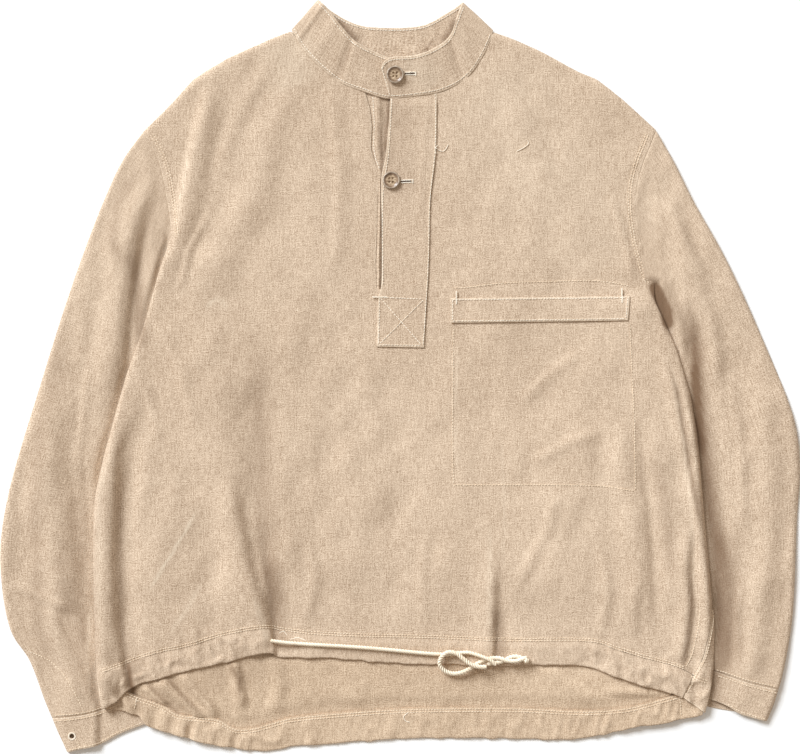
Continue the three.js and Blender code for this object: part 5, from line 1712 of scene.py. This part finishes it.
def make_thread(name, light, dark, scale):
    """Cotton thread: fine fibres along the strand, from the piece's own places."""
    nodes = Nodes(name)
    place = nodes.add("ShaderNodeTexCoord").outputs["Object"]
    fibres = nodes.noise(place, scale, (1, 1, 1), 0.3, 4, 0.65)
    soil_and_painted_shade = nodes.noise(place, 60, (1, 1, 1), 0.0, 2, 0.5)
    tone = nodes.add_up(0.0, [(fibres, 0.7), (soil_and_painted_shade, 0.4)])
    nodes.link(nodes.mix(nodes.ramp(tone, 0.3, 0.8), dark, light), nodes.shader.inputs["Base Color"])
    nodes.bump(fibres, 0.5, 0.0004)
    nodes.shader.inputs["Roughness"].default_value = 0.8
    nodes.shader.inputs["Sheen Weight"].default_value = 0.15
    return nodes.material


RING_START = 0.0046
RING_END = 0.0060
RIM_START = 0.0070
RIM_END = 0.0079


def make_horn():
    """Pressed horn: a tan dished middle under brown clouds, a dark ring, and a greyer rim."""
    nodes = Nodes("horn")
    place = nodes.add("ShaderNodeTexCoord").outputs["Object"]
    split = nodes.add("ShaderNodeSeparateXYZ")
    nodes.link(nodes.add("ShaderNodeUVMap", uv_map="cloth").outputs[0], split.inputs[0])
    clouds = nodes.noise(place, 260, (1, 2.2, 1), 0.6, 4, 0.6)
    dish = nodes.mix(nodes.ramp(clouds, 0.35, 0.65), linear(142, 116, 90), linear(206, 182, 152))
    ring = nodes.mix(nodes.ramp(clouds, 0.3, 0.7), linear(112, 88, 68), linear(158, 132, 108))
    rim = nodes.mix(nodes.ramp(clouds, 0.35, 0.7), linear(150, 132, 114), linear(206, 192, 174))
    colour = nodes.mix(nodes.ramp(split.outputs[0], RING_START, RING_END), dish, ring)
    colour = nodes.mix(nodes.ramp(split.outputs[0], RIM_START, RIM_END), colour, rim)
    nodes.link(colour, nodes.shader.inputs["Base Color"])
    nodes.bump(clouds, 0.12, 0.0002)
    nodes.shader.inputs["Roughness"].default_value = 0.3
    nodes.shader.inputs["Coat Weight"].default_value = 0.15
    nodes.shader.inputs["Coat Roughness"].default_value = 0.15
    return nodes.material


# Floor and light

FLOOR_HALF = 6.0
SKY = {"colour": (1.12, 1.0, 0.87, 1), "strength": 0.42}
KEY = {"power": 4.2, "colour": (0.93, 1.0, 1.07), "spread": 28, "turn": (-38, -44, 0)}


def add_stage():
    """A pale floor just under the cloth, lit evenly from all sides with one softer key from the
    upper left."""
    half = FLOOR_HALF
    mesh = bpy.data.meshes.new("floor")
    mesh.from_pydata([(-half, -half, 0), (half, -half, 0), (half, half, 0), (-half, half, 0)], [],
                     [(0, 1, 2, 3)])
    floor = bpy.data.objects.new("floor", mesh)
    bpy.context.scene.collection.objects.link(floor)
    nodes = Nodes("floor_paper")
    place = nodes.add("ShaderNodeTexCoord").outputs["Object"]
    tooth = nodes.noise(place, 400, (1, 1, 1), 0.0, 2, 0.5)
    nodes.link(nodes.mix(tooth, linear(250, 250, 249), linear(253, 253, 253)),
               nodes.shader.inputs["Base Color"])
    nodes.shader.inputs["Roughness"].default_value = 0.95
    nodes.shader.inputs["Specular IOR Level"].default_value = 0.1
    mesh.materials.append(nodes.material)

    world = bpy.data.worlds.new("studio")
    bpy.context.scene.world = world
    world.use_nodes = True
    background = world.node_tree.nodes["Background"]
    background.inputs["Color"].default_value = SKY["colour"]
    background.inputs["Strength"].default_value = SKY["strength"]

    light = bpy.data.lights.new("key", "SUN")
    light.energy = KEY["power"]
    light.color = KEY["colour"]
    light.angle = math.radians(KEY["spread"])
    key = bpy.data.objects.new("key", light)
    key.rotation_euler = [math.radians(turn) for turn in KEY["turn"]]
    bpy.context.scene.collection.objects.link(key)
    bpy.context.scene.view_settings.view_transform = "Standard"


def main():
    """Camera, materials, cloth, stitches, cuts and stage, in this order."""
    add_camera()
    thread = make_thread("cotton_cord", linear(255, 246, 228), linear(226, 205, 174), 900)
    add_drawstring(thread)

    linen = make_linen("linen", LINEN_DARK, LINEN_LIGHT, 0.0)
    inside = make_linen("linen_inside", INSIDE_DARK, INSIDE_LIGHT, 11.0)
    sewing = make_thread("sewing_thread", linear(255, 250, 238), linear(240, 224, 200), 1400)
    flax = make_thread("flax_thread", linear(250, 236, 214), linear(226, 202, 172), 1400)
    dark = make_thread("slit_shade", linear(92, 70, 52), linear(60, 44, 32), 900)
    horn = make_horn()

    back = build_back(inside)
    front = build_front(linen)
    wrap = build_wrap(linen)
    left = build_sleeve("sleeve_left", SLEEVE_LEFT, ARMHOLE_LEFT, -1, linen)
    right = build_sleeve("sleeve_right", SLEEVE_RIGHT, ARMHOLE_RIGHT, 1, linen)
    cuff_left = build_cuff("cuff_left", CUFF_LEFT, SLEEVE_LEFT["cuff_seam"], linen, EYELET)
    cuff_right = build_cuff("cuff_right", CUFF_RIGHT, SLEEVE_RIGHT["cuff_seam"], linen)
    collar_points, collar_uv = collar_grid()
    collar = add_cloth("collar_cloth", "collar_band", collar_points, collar_uv, linen, 0.5,
                       thickness=COLLAR_CLOTH)
    over = build_strip("placket_over", PLACKET_OVER_ROWS, placket_top, linen)
    under = build_strip("placket_under", PLACKET_UNDER_ROWS, placket_below, linen)
    welt = build_strip("pocket_welt", WELT_ROWS, welt_height, linen, WELT_LENGTH)
    bag = build_strip("pocket_bag", BAG_ROWS, lambda x, y: back_height(x, y) + 2, inside, BAG_WIDTH,
                      BAG_STEP, 0.0)
    front_casing = build_casing("front_casing_cloth", "front_hem_casing", FRONT_CASING_TOP, FRONT_HEM,
                                front_hem_level, FRONT_CASING_STEP, linen, CASING_SPREAD)
    back_casing = build_casing("back_casing_cloth", "back_hem_casing", BACK_CASING_TOP, BACK_HEM,
                               tail_hem_level, BACK_CASING_STEP, inside, 0.0)
    for button in BUTTONS:
        build_button(button, horn)

    add_stitches("stitches_front", front_stitches(), flax, 2)
    add_stitches("stitches_placket", placket_stitches() + welt_stitches(), sewing, 3)
    add_stitches("stitches_tail", tail_stitches() + wrap_stitches(), flax, 4)
    add_stitches("stitches_sleeves", sleeve_stitches(), flax, 5)
    add_stitches("stitches_collar", collar_stitches(collar_points), sewing, 6)
    lap = surface_of(collar_points[int(0.86 * len(collar_points)):])
    holes = [("buttonhole_collar", (4.6, 311), (15, 311.4), lambda x, y: lap(x, y) + 0.45),
             ("buttonhole_placket", (0.4, 200.6), (12, 201), placket_top)]
    whipped = bar_stitches() + eyelet_runs(sleeve_height)
    for name, start, end, height in holes:
        add_slit(name, start, end, height, dark)
        whipped += buttonhole_runs(start, end, height)
    add_stitches("stitches_bars", whipped, sewing, 7, pitch=2.6, length=1.9, radius=0.42)
    add_loose_threads(sewing)

    add_stage()


main()
